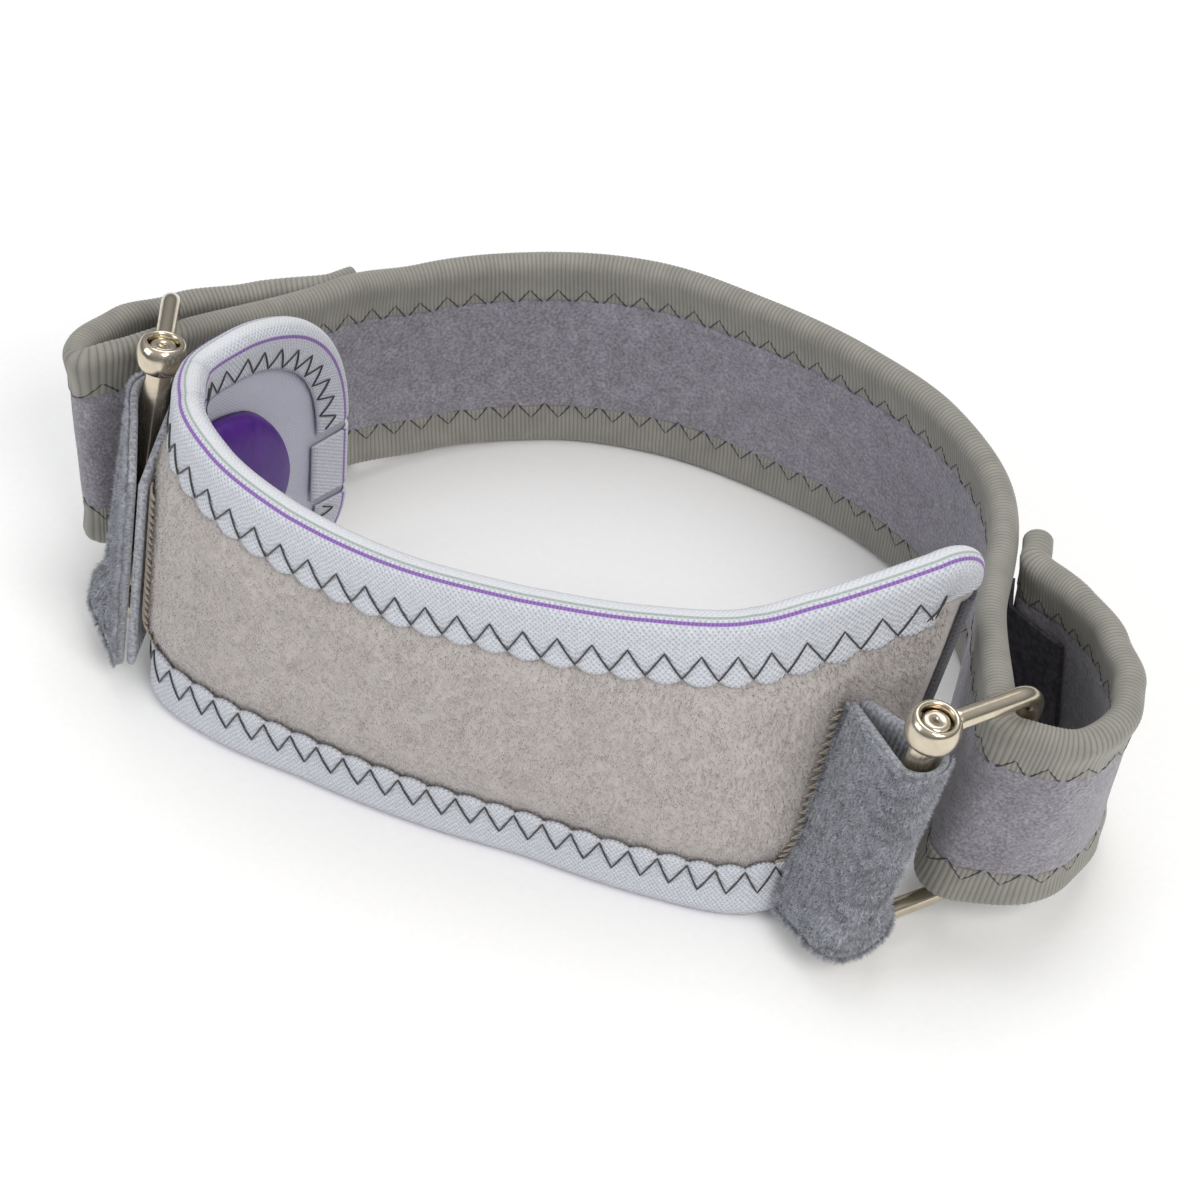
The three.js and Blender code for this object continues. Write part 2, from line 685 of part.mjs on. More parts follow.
function wireRows() {
  const half = RING_HEIGHT / 2;
  const start = EYE_RADIUS - EYE_WALL * 0.6;
  const rows = [{ place: vec3(start, 0, half), angle: 0 }];
  for (const [cx, cz, from] of [[1, 1, 0], [1, -1, -90]]) {
    for (let i = 0; i <= BEND_STEPS; i += 1) {
      const angle = from - (90 * i) / BEND_STEPS;
      const turn = THREE.MathUtils.degToRad(angle + 90);
      rows.push({
        place: vec3(
          RING_DEPTH - RING_CORNER + cx * RING_CORNER * Math.cos(turn),
          0,
          cz * (half - RING_CORNER) + RING_CORNER * Math.sin(turn),
        ),
        angle,
      });
    }
  }
  rows.push({ place: vec3(start, 0, -half), angle: -180 });
  return rows;
}

function wireGeometry() {
  const outline = [];
  for (let i = 0; i < WIRE_SIDES; i += 1) {
    const turn = (i / WIRE_SIDES) * 2 * Math.PI;
    outline.push(vec2((WIRE / 2) * Math.cos(turn), (WIRE / 2) * Math.sin(turn)));
  }
  const sections = wireRows().map(({ place, angle }) => {
    const turn = THREE.MathUtils.degToRad(angle + 90);
    const across = vec3(Math.cos(turn), 0, Math.sin(turn));
    return outline.map((p) => place.clone().addScaledVector(across, p.x).add(vec3(0, p.y, 0)));
  });
  return loftSections(sections, outline);
}

function eyeGeometry(height) {
  const inner = PIN / 2 + GAP;
  const half = EYE_HEIGHT / 2;
  const round = EYE_WALL * 0.35;
  const profile = [
    vec2(inner, -half), vec2(EYE_RADIUS - round, -half), vec2(EYE_RADIUS, round - half),
    vec2(EYE_RADIUS, half - round), vec2(EYE_RADIUS - round, half), vec2(inner, half),
    vec2(inner, -half),
  ];
  const geometry = new THREE.LatheGeometry(profile, EYE_SIDES);
  geometry.rotateX(Math.PI / 2);
  geometry.translate(0, 0, height);
  return geometry;
}

function ringGeometry() {
  const wire = solidOf(wireGeometry());
  const top = solidOf(eyeGeometry(RING_HEIGHT / 2));
  const bottom = solidOf(eyeGeometry(-RING_HEIGHT / 2));
  return geometryOf(wire.add(top).add(bottom));
}

const PIN_LENGTH = RING_HEIGHT + EYE_HEIGHT - 2 * GAP;

function pinGeometry() {
  const geometry = new THREE.CylinderGeometry(PIN / 2, PIN / 2, PIN_LENGTH, EYE_SIDES);
  geometry.rotateX(Math.PI / 2);
  return geometry;
}

function setInRing(mesh, frame) {
  const basis = new THREE.Matrix4().makeBasis(
    frame.across,
    frame.up.clone().cross(frame.across),
    frame.up,
  );
  mesh.quaternion.setFromRotationMatrix(basis);
  mesh.position.copy(frame.pin);
}

// Tabs: a strip sewn to the pad by both ends, folded round the pin. Each has its place along
// the pad, the slant and height span of its seam, its distance out from the pad, and the side
// of the strip that is its front.
const TABS = {
  right: { along: 70.5, slant: 0.12, seam: [4, 40], out: 0.9, front: -1 },
  left: { along: -51, slant: 0, seam: [5, 43], out: 3.8, front: 1 },
};
const TAB_LEVELS = 8;
const LEVEL_EASE = 1.6;
const FOLD_REACH = 100;

// The front of a tab hangs over the lower eye and its back ends above it, where the wire
// leaves the eye. From front to back: the fold's angles and how far each place hangs down.
const TAB_BACK_BOTTOM = -(RING_HEIGHT - EYE_HEIGHT) / 2 + GAP;
const TAB_FRONT_BOTTOM = -(RING_HEIGHT + EYE_HEIGHT) / 2 + 6 * GAP;
const FOLD_HANG = [1, 1, 0.6, 0.1, 0, 0, 0];
const FLARE_STEP = 4;

// Half the way across the fold at a level: round the pin, and wider where it hangs over the eye.
function foldRadius(level) {
  const flare = THREE.MathUtils.smoothstep(
    TAB_BACK_BOTTOM + FLARE_STEP - level,
    0,
    FLARE_STEP,
  );
  return lerp(PIN / 2, EYE_RADIUS, flare) + 2 * GAP + TAB_THICKNESS / 2;
}

// The strip's middle line at a share of its height, from its front end round to its back end.
function tabSection(side, frame, share) {
  const { along, slant, seam, out, front } = TABS[side];
  const levelAt = (hang) => lerp(lerp(TAB_BACK_BOTTOM, TAB_FRONT_BOTTOM, hang), TAB_TOP, share);
  const height = lerp(seam[0], seam[1], share);
  const foot = padPoint(along + slant * (height - PAD_MID), height, out);
  const reach = ringPoint(frame, 0, levelAt(0)).sub(foot).setZ(0).normalize();
  const across = vec3(-reach.y, reach.x, 0).multiplyScalar(front);
  const apart = (TAB_THICKNESS + GAP) / 2;
  const line = [foot.clone().addScaledVector(across, apart)];
  FOLD_HANG.forEach((hang, i) => {
    const level = levelAt(hang);
    const turn = THREE.MathUtils.degToRad(lerp(FOLD_REACH, -FOLD_REACH, i / (FOLD_HANG.length - 1)));
    line.push(ringPoint(frame, 0, level)
      .addScaledVector(reach, foldRadius(level) * Math.cos(turn))
      .addScaledVector(across, foldRadius(level) * Math.sin(turn)));
  });
  line.push(foot.clone().addScaledVector(across, -apart));
  return line;
}

// Offsets a line in plan to both sides and joins the two offsets into one closed section.
function thicken(line, thickness) {
  const one = [];
  const other = [];
  line.forEach((p, i) => {
    const before = line[Math.max(0, i - 1)];
    const after = line[Math.min(line.length - 1, i + 1)];
    const way = after.clone().sub(before).setZ(0).normalize();
    const out = vec3(-way.y, way.x, 0).multiplyScalar(thickness / 2);
    one.push(p.clone().add(out));
    other.push(p.clone().sub(out));
  });
  return [...one, ...other.reverse()];
}

function tabGeometry(side, frame) {
  const sections = [];
  for (let i = 0; i <= TAB_LEVELS; i += 1) {
    const share = (i / TAB_LEVELS) ** LEVEL_EASE;
    sections.push(thicken(tabSection(side, frame, share), TAB_THICKNESS));
  }
  const outline = sections[0].map((p) => vec2(p.x, p.y));
  return loftSections(sections, outline);
}

for (const side of ['right', 'left']) {
  const frame = ringFrame(RINGS[side]);
  setInRing(addPiece(`ring_${side}`, ringGeometry(), COLOURS.metal, 0.25, 1), frame);
  setInRing(addPiece(`pin_${side}`, pinGeometry(), COLOURS.metal, 0.3, 1), frame);
  addPiece(`tab_${side}`, tabGeometry(side, frame), COLOURS.tab);
}

// The whole stands with the middle of its footprint on the origin.
body.updateMatrixWorld(true);
const box = new THREE.Box3().setFromObject(body, true);
body.position.set(-(box.min.x + box.max.x) / 2, -(box.min.y + box.max.y) / 2, -box.min.z);

export default group;
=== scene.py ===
import bpy
import numpy as np
from bpy.props import FloatProperty, FloatVectorProperty, IntProperty, PointerProperty
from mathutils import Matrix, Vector


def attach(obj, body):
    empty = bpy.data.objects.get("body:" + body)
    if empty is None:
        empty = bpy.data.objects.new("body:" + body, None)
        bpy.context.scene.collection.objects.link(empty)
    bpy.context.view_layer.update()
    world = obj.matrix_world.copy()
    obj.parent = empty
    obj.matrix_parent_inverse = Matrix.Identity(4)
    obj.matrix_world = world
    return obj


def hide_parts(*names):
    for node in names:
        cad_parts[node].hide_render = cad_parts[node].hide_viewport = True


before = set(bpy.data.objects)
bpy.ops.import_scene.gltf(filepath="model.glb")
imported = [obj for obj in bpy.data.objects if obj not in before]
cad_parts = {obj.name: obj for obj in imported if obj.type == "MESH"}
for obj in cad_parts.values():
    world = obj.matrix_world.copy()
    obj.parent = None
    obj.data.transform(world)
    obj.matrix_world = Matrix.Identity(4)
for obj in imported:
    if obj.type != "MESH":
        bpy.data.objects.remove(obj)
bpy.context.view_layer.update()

bl_info = {
    "name": "Patella strap",
    "version": (1, 0, 0),
    "blender": (4, 5, 0),
    "location": "3D View > Sidebar > Patella strap",
    "description": "Dresses a patella strap: plush pad, taped edges, looped strap, wire rings",
    "category": "Object",
}

MM = 0.001
TINY = 1e-9

# Where the middle of the footprint lies, from the origin of the tables below, in mm
SHIFT = np.array([-0.493, -8.712, 0.046])

# Middle line of the strap from its right free end to its left one, in mm:
# x, y, lean towards +x and +y as a share of height, height of the lower edge
STRAP_ROWS = np.array([
    (56.32, 36.02, 0.05, 0.037, 0.49),
    (57.66, 33.24, 0.055, 0.038, 0.62),
    (58.86, 30.67, 0.061, 0.04, 0.78),
    (70.71, 27.27, -0.02, -0.04, 2.25),
    (79.71, 19.77, 0.03, -0.04, 4.49),
    (85.11, 11.37, 0.12, 0, 5.99),
    (86.91, 2.97, 0.19, 0.02, 6.74),
    (84.81, -4.53, 0.2, -0.02, 7.49),
    (76.03, -8.68, 0.232, 0.06, 7.49),
    (74.35, -8.79, 0.232, 0.06, 7.49),
    (72.76, -8.25, 0.232, 0.06, 7.49),
    (71.5, -7.15, 0.232, 0.06, 7.49),
    (70.76, -5.64, 0.232, 0.06, 7.49),
    (58.1, 16.74, 0.12, 0.05, 3.37),
    (53.9, 28.52, 0.06, 0.04, 0.75),
    (45.5, 42.78, 0.03, 0.03, 0),
    (29.4, 53.94, 0, 0.03, 0),
    (10.5, 59.21, 0, 0, 0),
    (-10.5, 60.14, 0, 0, 0),
    (-30.1, 57.66, 0, 0.02, 0),
    (-47.6, 48.98, 0.01, 0, 0),
    (-61.6, 33.48, 0.03, 0, 0.95),
    (-69.3, 16.74, 0.07, 0.08, 3.79),
    (-78.04, -13.11, 0.077, 0.224, 9.46),
    (-78.2, -13.59, 0.077, 0.224, 9.46),
    (-78.41, -14.05, 0.077, 0.224, 9.46),
    (-78.68, -14.48, 0.077, 0.224, 9.46),
    (-79, -14.87, 0.077, 0.224, 9.46),
    (-82.49, -21.6, 0.05, 0.12, 8.99),
    (-85.49, -24.6, 0.02, 0, 8.52),
    (-88.64, -19.2, 0, -0.08, 8.04),
    (-89.24, -9.6, 0, -0.08, 6.62),
    (-86.69, 0.9, 0, -0.05, 3.79),
    (-80.69, 12, 0, -0.01, 1.42),
    (-73.28, 21.11, 0.065, 0.069, 0.85),
    (-72.37, 23.33, 0.059, 0.058, 0.75),
    (-71.45, 25.64, 0.054, 0.048, 0.66),
])
STRAP_HALF_WIDTH = 20.0

# The strap's ribbed tape: the distance between ribs, samples for each, and how deep they are
RIB_PITCH = 0.74
RIB_SAMPLES = 4
RIB_DEEP = 0.13

# The strap's zigzag: lowest and highest place across the tape, and the bare length at each end
ZIGZAG_LOW = 10.9
ZIGZAG_HIGH = 14.0
ZIGZAG_BARE = 3.0
THREAD_SIDES = 5

# Pad route at half height, outer face: x, y in mm, and the inward lean as a share of height
PAD_ROWS = np.array([
    (-54.78, 22.88, 0.06), (-58.08, 7.92, 0.08), (-60.72, -6.16, 0.10), (-62.70, -18.92, 0.12),
    (-63.03, -31.68, 0.14), (-57.09, -40.04, 0.14), (-44.88, -43.56, 0.08), (-27.72, -43.56, 0.02),
    (-6.60, -41.36, 0.00), (11.88, -36.96, 0.00), (29.70, -32.12, 0.05), (45.54, -25.08, 0.10),
    (52.14, -16.72, 0.08), (57.09, -7.92, 0.04), (61.38, 0.88, 0.00), (66.00, 10.56, 0.00),
])

# The pad: its height, half of it, the share of the route before its middle, and how far its
# lower edge lifts at the ends
PAD_HEIGHT = 54.0
PAD_MID = 27.0
PAD_MIDDLE_SHARE = 0.533
PAD_LIFT = 2.0

# Distances out from the pad's face, negative inwards: the cover's back and its front under the
# tapes, the lining's front and its thickness, and the back and the front of the tapes' rim
COVER_DEEP = 3.2
COVER_SUNK = -1.8
LINING_OUT = -3.75
LINING_DEEP = 0.7
RIM_BACK = -5.8
RIM_FRONT = -0.45
RIM_RADIUS = (RIM_FRONT - RIM_BACK) / 2
RIM_MIDDLE = (RIM_FRONT + RIM_BACK) / 2

# How far inside the pad's outline its layers end
PAD_INSET = 1.1

# How far the pad's tape reaches in on its front and its back, its scallops and thickness
TAPE_FRONT = 11.2
TAPE_REAR = 8.0
SCALLOP = 1.1
TAPE_THICK = 0.55

# The gel cushion's length, height, depth, place along the pad and clearance to the lining
CUSHION_LENGTH = 142.0
CUSHION_TALL = 36.0
CUSHION_DEEP = 5.0
CUSHION_ALONG = -9.0
CUSHION_CLEAR = 0.85

# The piles: how deep their roots sit, how much of the pad's face the tapes hide at each edge,
# and the fibres on each tab
ROOT_DEEP = 0.12
TAPE_HIDES = 9.0
TAB_FIBRES = 26000

# The pad's ends: reach from its middle, rise of the upper edge, slant, corner radii, and how
# far from the end the padding starts and is full
LEFT_END = {"reach": 95.5, "rise": 30.0, "slant": 0.02, "upper": 52.0, "lower": 14.0,
            "thin": 12.0, "full": 28.0}
RIGHT_END = {"reach": 88.0, "rise": 7.0, "slant": 0.34, "upper": 8.0, "lower": 12.0,
             "thin": 12.0, "full": 23.0}

# The rings: height and reach of the wire, and radii of the wire, the pin and the eyes
RING_HEIGHT = 46.5
RING_DEPTH = 19.5
WIRE_RADIUS = 1.6
PIN_RADIUS = 2.2
EYE_RADIUS = 4.1
EYE_HEIGHT = 5.0

# Each ring's pin at half height, its upright, and the way from the pin to the far bar
RINGS = {
    "right": ((68, -22.6, 29.39), (0.226, 0.059, 0.972), (0.352, 0.926, -0.137)),
    "left": ((-70.6, -27.5, 31.28), (0.075, 0.218, 0.973), (-0.595, 0.793, -0.131)),
}

# Each tab: place along the pad, slant and lowest and highest place of its seam, distance out
# from the pad, and the side of the strip that is its front
TABS = {
    "right": (70.5, 0.12, 4.0, 40.0, 0.9, -1),
    "left": (-51.0, 0.0, 5.0, 43.0, 3.8, 1),
}

# Levels on the pin where a tab's fold ends: its top, and its bottom at the back and at the
# front, which hangs over the lower eye. How far each place round the fold hangs down.
TAB_TOP = 17.0
TAB_BACK_BOTTOM = -20.45
TAB_FRONT_BOTTOM = -23.95
FOLD_HANG = (1.0, 1.0, 0.6, 0.1, 0.0, 0.0, 0.0)
FLARE_STEP = 4.0
TAB_HALF = 0.75

# A tab's length round the fold and its height, for its texture
TAB_AROUND = 45
TAB_TALL = 42


# Colour and mesh helpers


def linear(code):
    """An sRGB hex colour turned to linear RGBA."""
    value = np.array([int(code[i:i + 2], 16) for i in (1, 3, 5)]) / 255
    low = value / 12.92
    high = ((value + 0.055) / 1.055) ** 2.4
    return (*np.where(value <= 0.04045, low, high).tolist(), 1.0)


def smooth(value):
    """Eases from 0 to 1 as value goes from 0 to 1."""
    t = np.clip(value, 0.0, 1.0)
    return t * t * (3 - 2 * t)


def unit(vectors, least=0.0):
    """Vectors at length 1. The least is added to each length, so that none divides by zero."""
    return vectors / (np.linalg.norm(vectors, axis=-1, keepdims=True) + least)


def distances_along(line):
    """The distance of each point of a line from its first one, along the line."""
    return np.append(0, np.cumsum(np.linalg.norm(np.diff(line, axis=0), axis=1)))


def rows_at(wanted, s, rows):
    """Each column of some rows, read at the wanted distances."""
    return np.column_stack([np.interp(wanted, s, column) for column in rows.T])


def there_and_back(values):
    """Values for a section's front path and then for the same number of points back."""
    return np.concatenate([values, values[::-1]])


def build(name, points, faces, material, uv=None, shade=None):
    """A mesh piece from points in mm and faces, with UVs per face corner and a shade per point.
    The shade holds a fibre's own tone with painted shade at its root and painted highlight at
    its tip.
    """
    mesh = bpy.data.meshes.new(name)
    corners = [face for part in faces for face in part.tolist()]
    mesh.from_pydata(((points + SHIFT) * MM).tolist(), [], corners)
    if uv is not None:
        layer = mesh.uv_layers.new(name="surface")
        layer.data.foreach_set("uv", np.concatenate([u.reshape(-1) for u in uv]).astype(np.float32))
    if shade is not None:
        mesh.attributes.new("shade", "FLOAT", "POINT").data.foreach_set(
            "value", shade.astype(np.float32))
    mesh.shade_smooth()
    mesh.materials.append(material)
    piece = bpy.data.objects.new(name, mesh)
    bpy.context.scene.collection.objects.link(piece)
    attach(piece, "root")
    return piece


def shell(name, rows, material, lengths, widths, flip=False):
    """A closed skin over a grid of points (n along, m round a closed section).
    Side faces join each section to the next. The section is a front path and the same number
    of points back, so each end is closed by a strip that joins opposite points. The UV map
    is distance along and distance round, in mm."""
    n, m = rows.shape[:2]
    grid = np.arange(n * m).reshape(n, m)
    nxt = np.roll(grid, -1, axis=1)
    sides = np.stack([grid[:-1], nxt[:-1], nxt[1:], grid[1:]], axis=-1).reshape(-1, 4)
    half = m // 2
    a, b = np.arange(half - 1), np.arange(1, half)
    cap = np.stack([a, m - 1 - a, m - 1 - b, b], axis=-1)
    ends = [cap, (cap + (n - 1) * m)[:, ::-1]]
    u = np.broadcast_to(lengths[:, None], (n, m + 1))
    v = np.broadcast_to(np.append(widths, 2 * widths[-1] - widths[-2]), (n, m + 1))
    w = np.stack([u, v], axis=-1)
    uv = [np.stack([w[:-1, :-1], w[:-1, 1:], w[1:, 1:], w[1:, :-1]], axis=2)]
    for end, row in ((ends[0], 0), (ends[1], n - 1)):
        uv.append(np.stack([np.full(end.shape, lengths[row]), widths[end % m]], axis=-1))
    faces = [sides, *ends]
    if flip:
        faces = [f[:, ::-1] for f in faces]
        uv = [part[..., ::-1, :] for part in uv]
    return build(name, rows.reshape(-1, 3), faces, material, uv)


def facing(rows):
    """True if a tube of sections wound like this has its faces pointing inwards.
    It is the sign of the volume of the prism between two neighbouring sections."""
    k = len(rows) // 2
    section = rows[k]
    centre = section.mean(axis=0)
    way = rows[k + 1].mean(axis=0) - centre
    turn = np.cross(section - centre, np.roll(section, -1, axis=0) - centre).sum(axis=0)
    return float(np.dot(turn, way)) > 0


def closed_shell(name, rows, material, lengths, widths):
    """A shell whose faces point outwards, whichever way its sections are wound."""
    return shell(name, rows, material, lengths, widths, flip=facing(rows))


def tube(name, path, normals, radius, sides, material):
    """A round thread or wire: at each point of the path, a circle across the path's direction.
    The circle's axes are the given normal and its cross product with the direction."""
    way = unit(np.gradient(path, axis=0), TINY)
    side = unit(np.cross(way, normals), TINY)
    rise = np.cross(side, way)
    turn = np.linspace(0, 2 * np.pi, sides, endpoint=False)
    rows = path[:, None] + radius * (np.cos(turn)[None, :, None] * side[:, None]
                                     + np.sin(turn)[None, :, None] * rise[:, None])
    return closed_shell(name, rows, material, distances_along(path), turn * radius)


def centripetal(points, t):
    """Centripetal Catmull-Rom curve through points, at parameters t counted in points.
    Between two points it is the cubic whose end slopes come from the neighbouring points,
    weighed by the square roots of the distances. Returns places and unit directions."""
    ends = np.concatenate([[2 * points[0] - points[1]], points, [2 * points[-1] - points[-2]]])
    i = np.clip(np.floor(t).astype(int), 0, len(points) - 2)
    w = (t - i).reshape((-1,) + (1,) * (points.ndim - 1))
    p0, p1, p2, p3 = (ends[i + k] for k in range(4))

    def step(a, b):
        return np.maximum(np.linalg.norm(b - a, axis=-1, keepdims=True), 1e-8) ** 0.5

    d0, d1, d2 = step(p0, p1), step(p1, p2), step(p2, p3)
    m1 = ((p1 - p0) / d0 - (p2 - p0) / (d0 + d1) + (p2 - p1) / d1) * d1
    m2 = ((p2 - p1) / d1 - (p3 - p1) / (d1 + d2) + (p3 - p2) / d2) * d1
    c2 = -3 * p1 + 3 * p2 - 2 * m1 - m2
    c3 = 2 * p1 - 2 * p2 + m1 + m2
    place = p1 + m1 * w + c2 * w ** 2 + c3 * w ** 3
    way = m1 + 2 * c2 * w + 3 * c3 * w ** 2
    return place, unit(way, 1e-12)


# The strap's own surface


def strap_table():
    """Parameter of the strap's route against distance along it, in mm."""
    t = np.linspace(0, len(STRAP_ROWS) - 1, 4000)
    place, _ = centripetal(STRAP_ROWS[:, :2], t)
    return t, distances_along(place)


STRAP_T, STRAP_S = strap_table()
STRAP_LENGTH = float(STRAP_S[-1])


def strap_place(distance, out, height):
    """A place on the strap: distance along, out from its middle face, height from its middle.
    The middle line is a curve in plan. The upright leans as the table says and the normal is
    level, turned across the upright."""
    t = np.interp(distance, STRAP_S, STRAP_T)
    place, way = centripetal(STRAP_ROWS[:, :2], t.reshape(-1))
    i = np.clip(np.floor(t).astype(int), 0, len(STRAP_ROWS) - 2).reshape(-1)
    w = smooth(t.reshape(-1) - i)[:, None]
    lean = STRAP_ROWS[i, 2:] * (1 - w) + STRAP_ROWS[i + 1, 2:] * w
    up = unit(np.column_stack([lean[:, 0], lean[:, 1], np.ones(len(lean))]))
    normal = np.column_stack([-way[:, 1], way[:, 0], np.zeros(len(way))])
    normal = unit(normal - (normal * up).sum(axis=1, keepdims=True) * up)
    base = np.column_stack([place, lean[:, 2] + STRAP_HALF_WIDTH * up[:, 2]])
    shape = np.broadcast(distance, out, height).shape
    if np.ndim(distance) == 1 and len(shape) == 2:
        base, normal, up = base[:, None], normal[:, None], up[:, None]
    else:
        base, normal, up = (a.reshape(shape + (3,)) for a in (base, normal, up))
    out = np.broadcast_to(out, shape)[..., None]
    height = np.broadcast_to(height, shape)[..., None]
    return base + out * normal + height * up


def strap_sweep(distances, out, height):
    """Sections of the strap at some distances: out and height are (n, m) or (m)."""
    n = len(distances)
    out = np.broadcast_to(out, (n, np.shape(out)[-1]))
    height = np.broadcast_to(height, out.shape)
    line = strap_place(distances, np.zeros(n), np.zeros(n))
    normal = strap_place(distances, np.ones(n), np.zeros(n)) - line
    up = strap_place(distances, np.zeros(n), np.ones(n)) - line
    return line[:, None] + out[..., None] * normal[:, None] + height[..., None] * up[:, None]


# The pad's own surface


def pad_table():
    """Parameter of the pad's route against distance along it, in mm."""
    t = np.linspace(0, len(PAD_ROWS) - 1, 3000)
    place, _ = centripetal(PAD_ROWS[:, :2], t)
    return t, distances_along(place)


PAD_T, PAD_S = pad_table()
PAD_LENGTH = float(PAD_S[-1])


def by_side(along, key):
    """A value of the left or the right end, picked by the sign of the place along the pad."""
    return np.where(along < 0, LEFT_END[key], RIGHT_END[key])


def end_share(along):
    """How far along one side of the pad a place is, from 0 at its middle to 1 at its end."""
    return np.minimum(1.0, np.abs(along) / by_side(along, "reach"))


def upper_edge(along):
    """Height of the pad's upper edge, which rises with the square of the share."""
    return PAD_HEIGHT + by_side(along, "rise") * end_share(along) ** 2


def lower_edge(along):
    """Height of the pad's lower edge, which lifts a little near the ends."""
    return PAD_LIFT * smooth((end_share(along) - 0.6) / 0.4)


def pad_limits(along, inset):
    """Lowest and highest height of the pad at a place, with round corners at its ends."""
    from_end = by_side(along, "reach") - inset - np.abs(along)

    def corner(key):
        r = np.maximum(by_side(along, key) - inset, 1.0)
        drop = r - np.sqrt(np.maximum(0.0, r * r - np.maximum(r - from_end, 0.0) ** 2))
        return np.where(from_end >= r, 0.0, drop)

    return lower_edge(along) + inset + corner("lower"), upper_edge(along) - inset - corner("upper")


def pad_place(along, height, out):
    """A place on the pad: along its route, height, and out from its outer face.
    The route is a curve in plan, slanted near the ends, and the face leans inwards with
    height. Beyond the route's ends it goes on straight."""
    along, height, out = np.broadcast_arrays(along, height, out)
    slant = np.where(along < 0, -LEFT_END["slant"], RIGHT_END["slant"]) * end_share(along) ** 2
    slanted = along + slant * (height - PAD_MID)
    wanted = PAD_MIDDLE_SHARE * PAD_LENGTH + slanted
    distance = np.clip(wanted, 0, PAD_LENGTH)
    t = np.interp(distance, PAD_S, PAD_T).reshape(-1)
    place, way = centripetal(PAD_ROWS[:, :2], t)
    place = place + way * (wanted - distance).reshape(-1, 1)
    normal = np.column_stack([way[:, 1], -way[:, 0]])
    i = np.clip(np.floor(t).astype(int), 0, len(PAD_ROWS) - 2)
    lean = PAD_ROWS[i, 2] + (PAD_ROWS[i + 1, 2] - PAD_ROWS[i, 2]) * (t - i)
    shift = out.reshape(-1) - lean * (height.reshape(-1) - PAD_MID)
    place = place + normal * shift[:, None]
    return np.column_stack([place, height.reshape(-1)]).reshape(along.shape + (3,))


def lumps(a, b, seed, size):
    """Slow uneven swell between about -1 and 1: a sum of five sine waves in two directions."""
    rng = np.random.default_rng(seed)
    total = np.zeros(np.broadcast(a, b).shape)
    for _ in range(5):
        angle, phase = rng.uniform(0, np.pi), rng.uniform(0, 2 * np.pi)
        wave = size * rng.uniform(0.6, 1.6)
        total = total + np.sin((a * np.cos(angle) + b * np.sin(angle)) * 2 * np.pi / wave + phase)
    return total / 3


def plump(along):
    """How full the pad is: thin under its end corners, full further in."""
    thin, full = by_side(along, "thin"), by_side(along, "full")
    return smooth((by_side(along, "reach") - np.abs(along) - thin) / (full - thin))


def cover_out(along, height):
    """The plush face's distance out: sunk under the tapes, swelling between them."""
    low, high = pad_limits(along, 0)
    rim = np.minimum(height - low, high - height)
    swell = smooth((rim - 8.8) / 8.0)
    full = swell * (2.3 + 0.22 * lumps(along, height, 4, 34))
    return COVER_SUNK + full * (0.12 + 0.88 * plump(along))


def face_axes(surface, a, b, step=0.4):
    """Unit tangents and the outward normal of a surface given by a function of two values."""
    ta = unit(surface(a + step, b) - surface(a - step, b), TINY)
    tb = unit(surface(a, b + step) - surface(a, b - step), TINY)
    return ta, tb, unit(np.cross(ta, tb), TINY)


def nap(name, roots, normals, combed, length, width, rises, seed, material):
    """Pile of short fibres: each is a closed three-sided needle whose root sits in the cloth
    and whose tip leans along the combed direction. The shade attribute is a random value per
    fibre, darker at the root than at the tip: the random value is each fibre's own tone, the
    darker root is painted shade where fibres shade each other and the lighter tip is painted
    highlight. The rises are how far the fibres stand up, from the least to the most."""
    rng = np.random.default_rng(seed)
    count = len(roots)
    side = np.cross(normals, combed)
    rise = rng.uniform(*rises, count)[:, None]
    fall = rng.normal(0.75, 0.30, count)[:, None]
    drift = rng.normal(0.0, 0.28, count)[:, None]
    way = unit(normals * rise + combed * fall + side * drift)
    reach = (length * rng.uniform(0.55, 1.15, count))[:, None]
    foot = roots - normals * ROOT_DEEP
    turn = np.array([0, 2 * np.pi / 3, 4 * np.pi / 3]) + rng.uniform(0, 2, count)[:, None]
    ring = (np.cos(turn)[..., None] * side[:, None] + np.sin(turn)[..., None] * combed[:, None])
    base = foot[:, None] + ring * width / 2
    points = np.concatenate([base, (foot + way * reach)[:, None]], axis=1).reshape(-1, 3)
    k = np.arange(count)[:, None] * 4
    faces = np.concatenate([k + f for f in ([0, 1, 3], [1, 2, 3], [2, 0, 3], [0, 2, 1])])
    own = rng.normal(0.5, 0.22, count)[:, None]
    # Own tone per fibre, lowered at the root as painted shade and raised at the tip as painted
    # highlight
    shade = (own + [-0.25, -0.25, -0.25, 0.25]).reshape(-1)
    return build(name, points, [faces], material, shade=np.clip(shade, 0, 1))


# Materials


def add_node(tree, kind, links=None, **settings):
    """Adds a node, sets its properties, and links or sets the named inputs."""
    node = tree.nodes.new(kind)
    for key, value in settings.items():
        setattr(node, key, value)
    for socket, value in (links or {}).items():
        if isinstance(value, bpy.types.NodeSocket):
            tree.links.new(value, node.inputs[socket])
        else:
            node.inputs[socket].default_value = value
    return node


def new_material(name):
    """An empty node material with its shader joined to its output."""
    material = bpy.data.materials.new(name)
    material.use_nodes = True
    tree = material.node_tree
    tree.nodes.clear()
    shader = add_node(tree, "ShaderNodeBsdfPrincipled")
    add_node(tree, "ShaderNodeOutputMaterial", {"Surface": shader.outputs[0]})
    return material, tree, shader


def object_coords(tree):
    """Object coordinates in mm."""
    place = add_node(tree, "ShaderNodeTexCoord")
    return add_node(tree, "ShaderNodeVectorMath", {0: place.outputs["Object"], 1: (1000,) * 3},
                    operation="MULTIPLY").outputs[0]


def surface_coords(tree):
    """The piece's own UV map, in mm along and across, as separate values."""
    uv = add_node(tree, "ShaderNodeUVMap", uv_map="surface")
    parts = add_node(tree, "ShaderNodeSeparateXYZ", {0: uv.outputs[0]})
    return parts.outputs[0], parts.outputs[1]


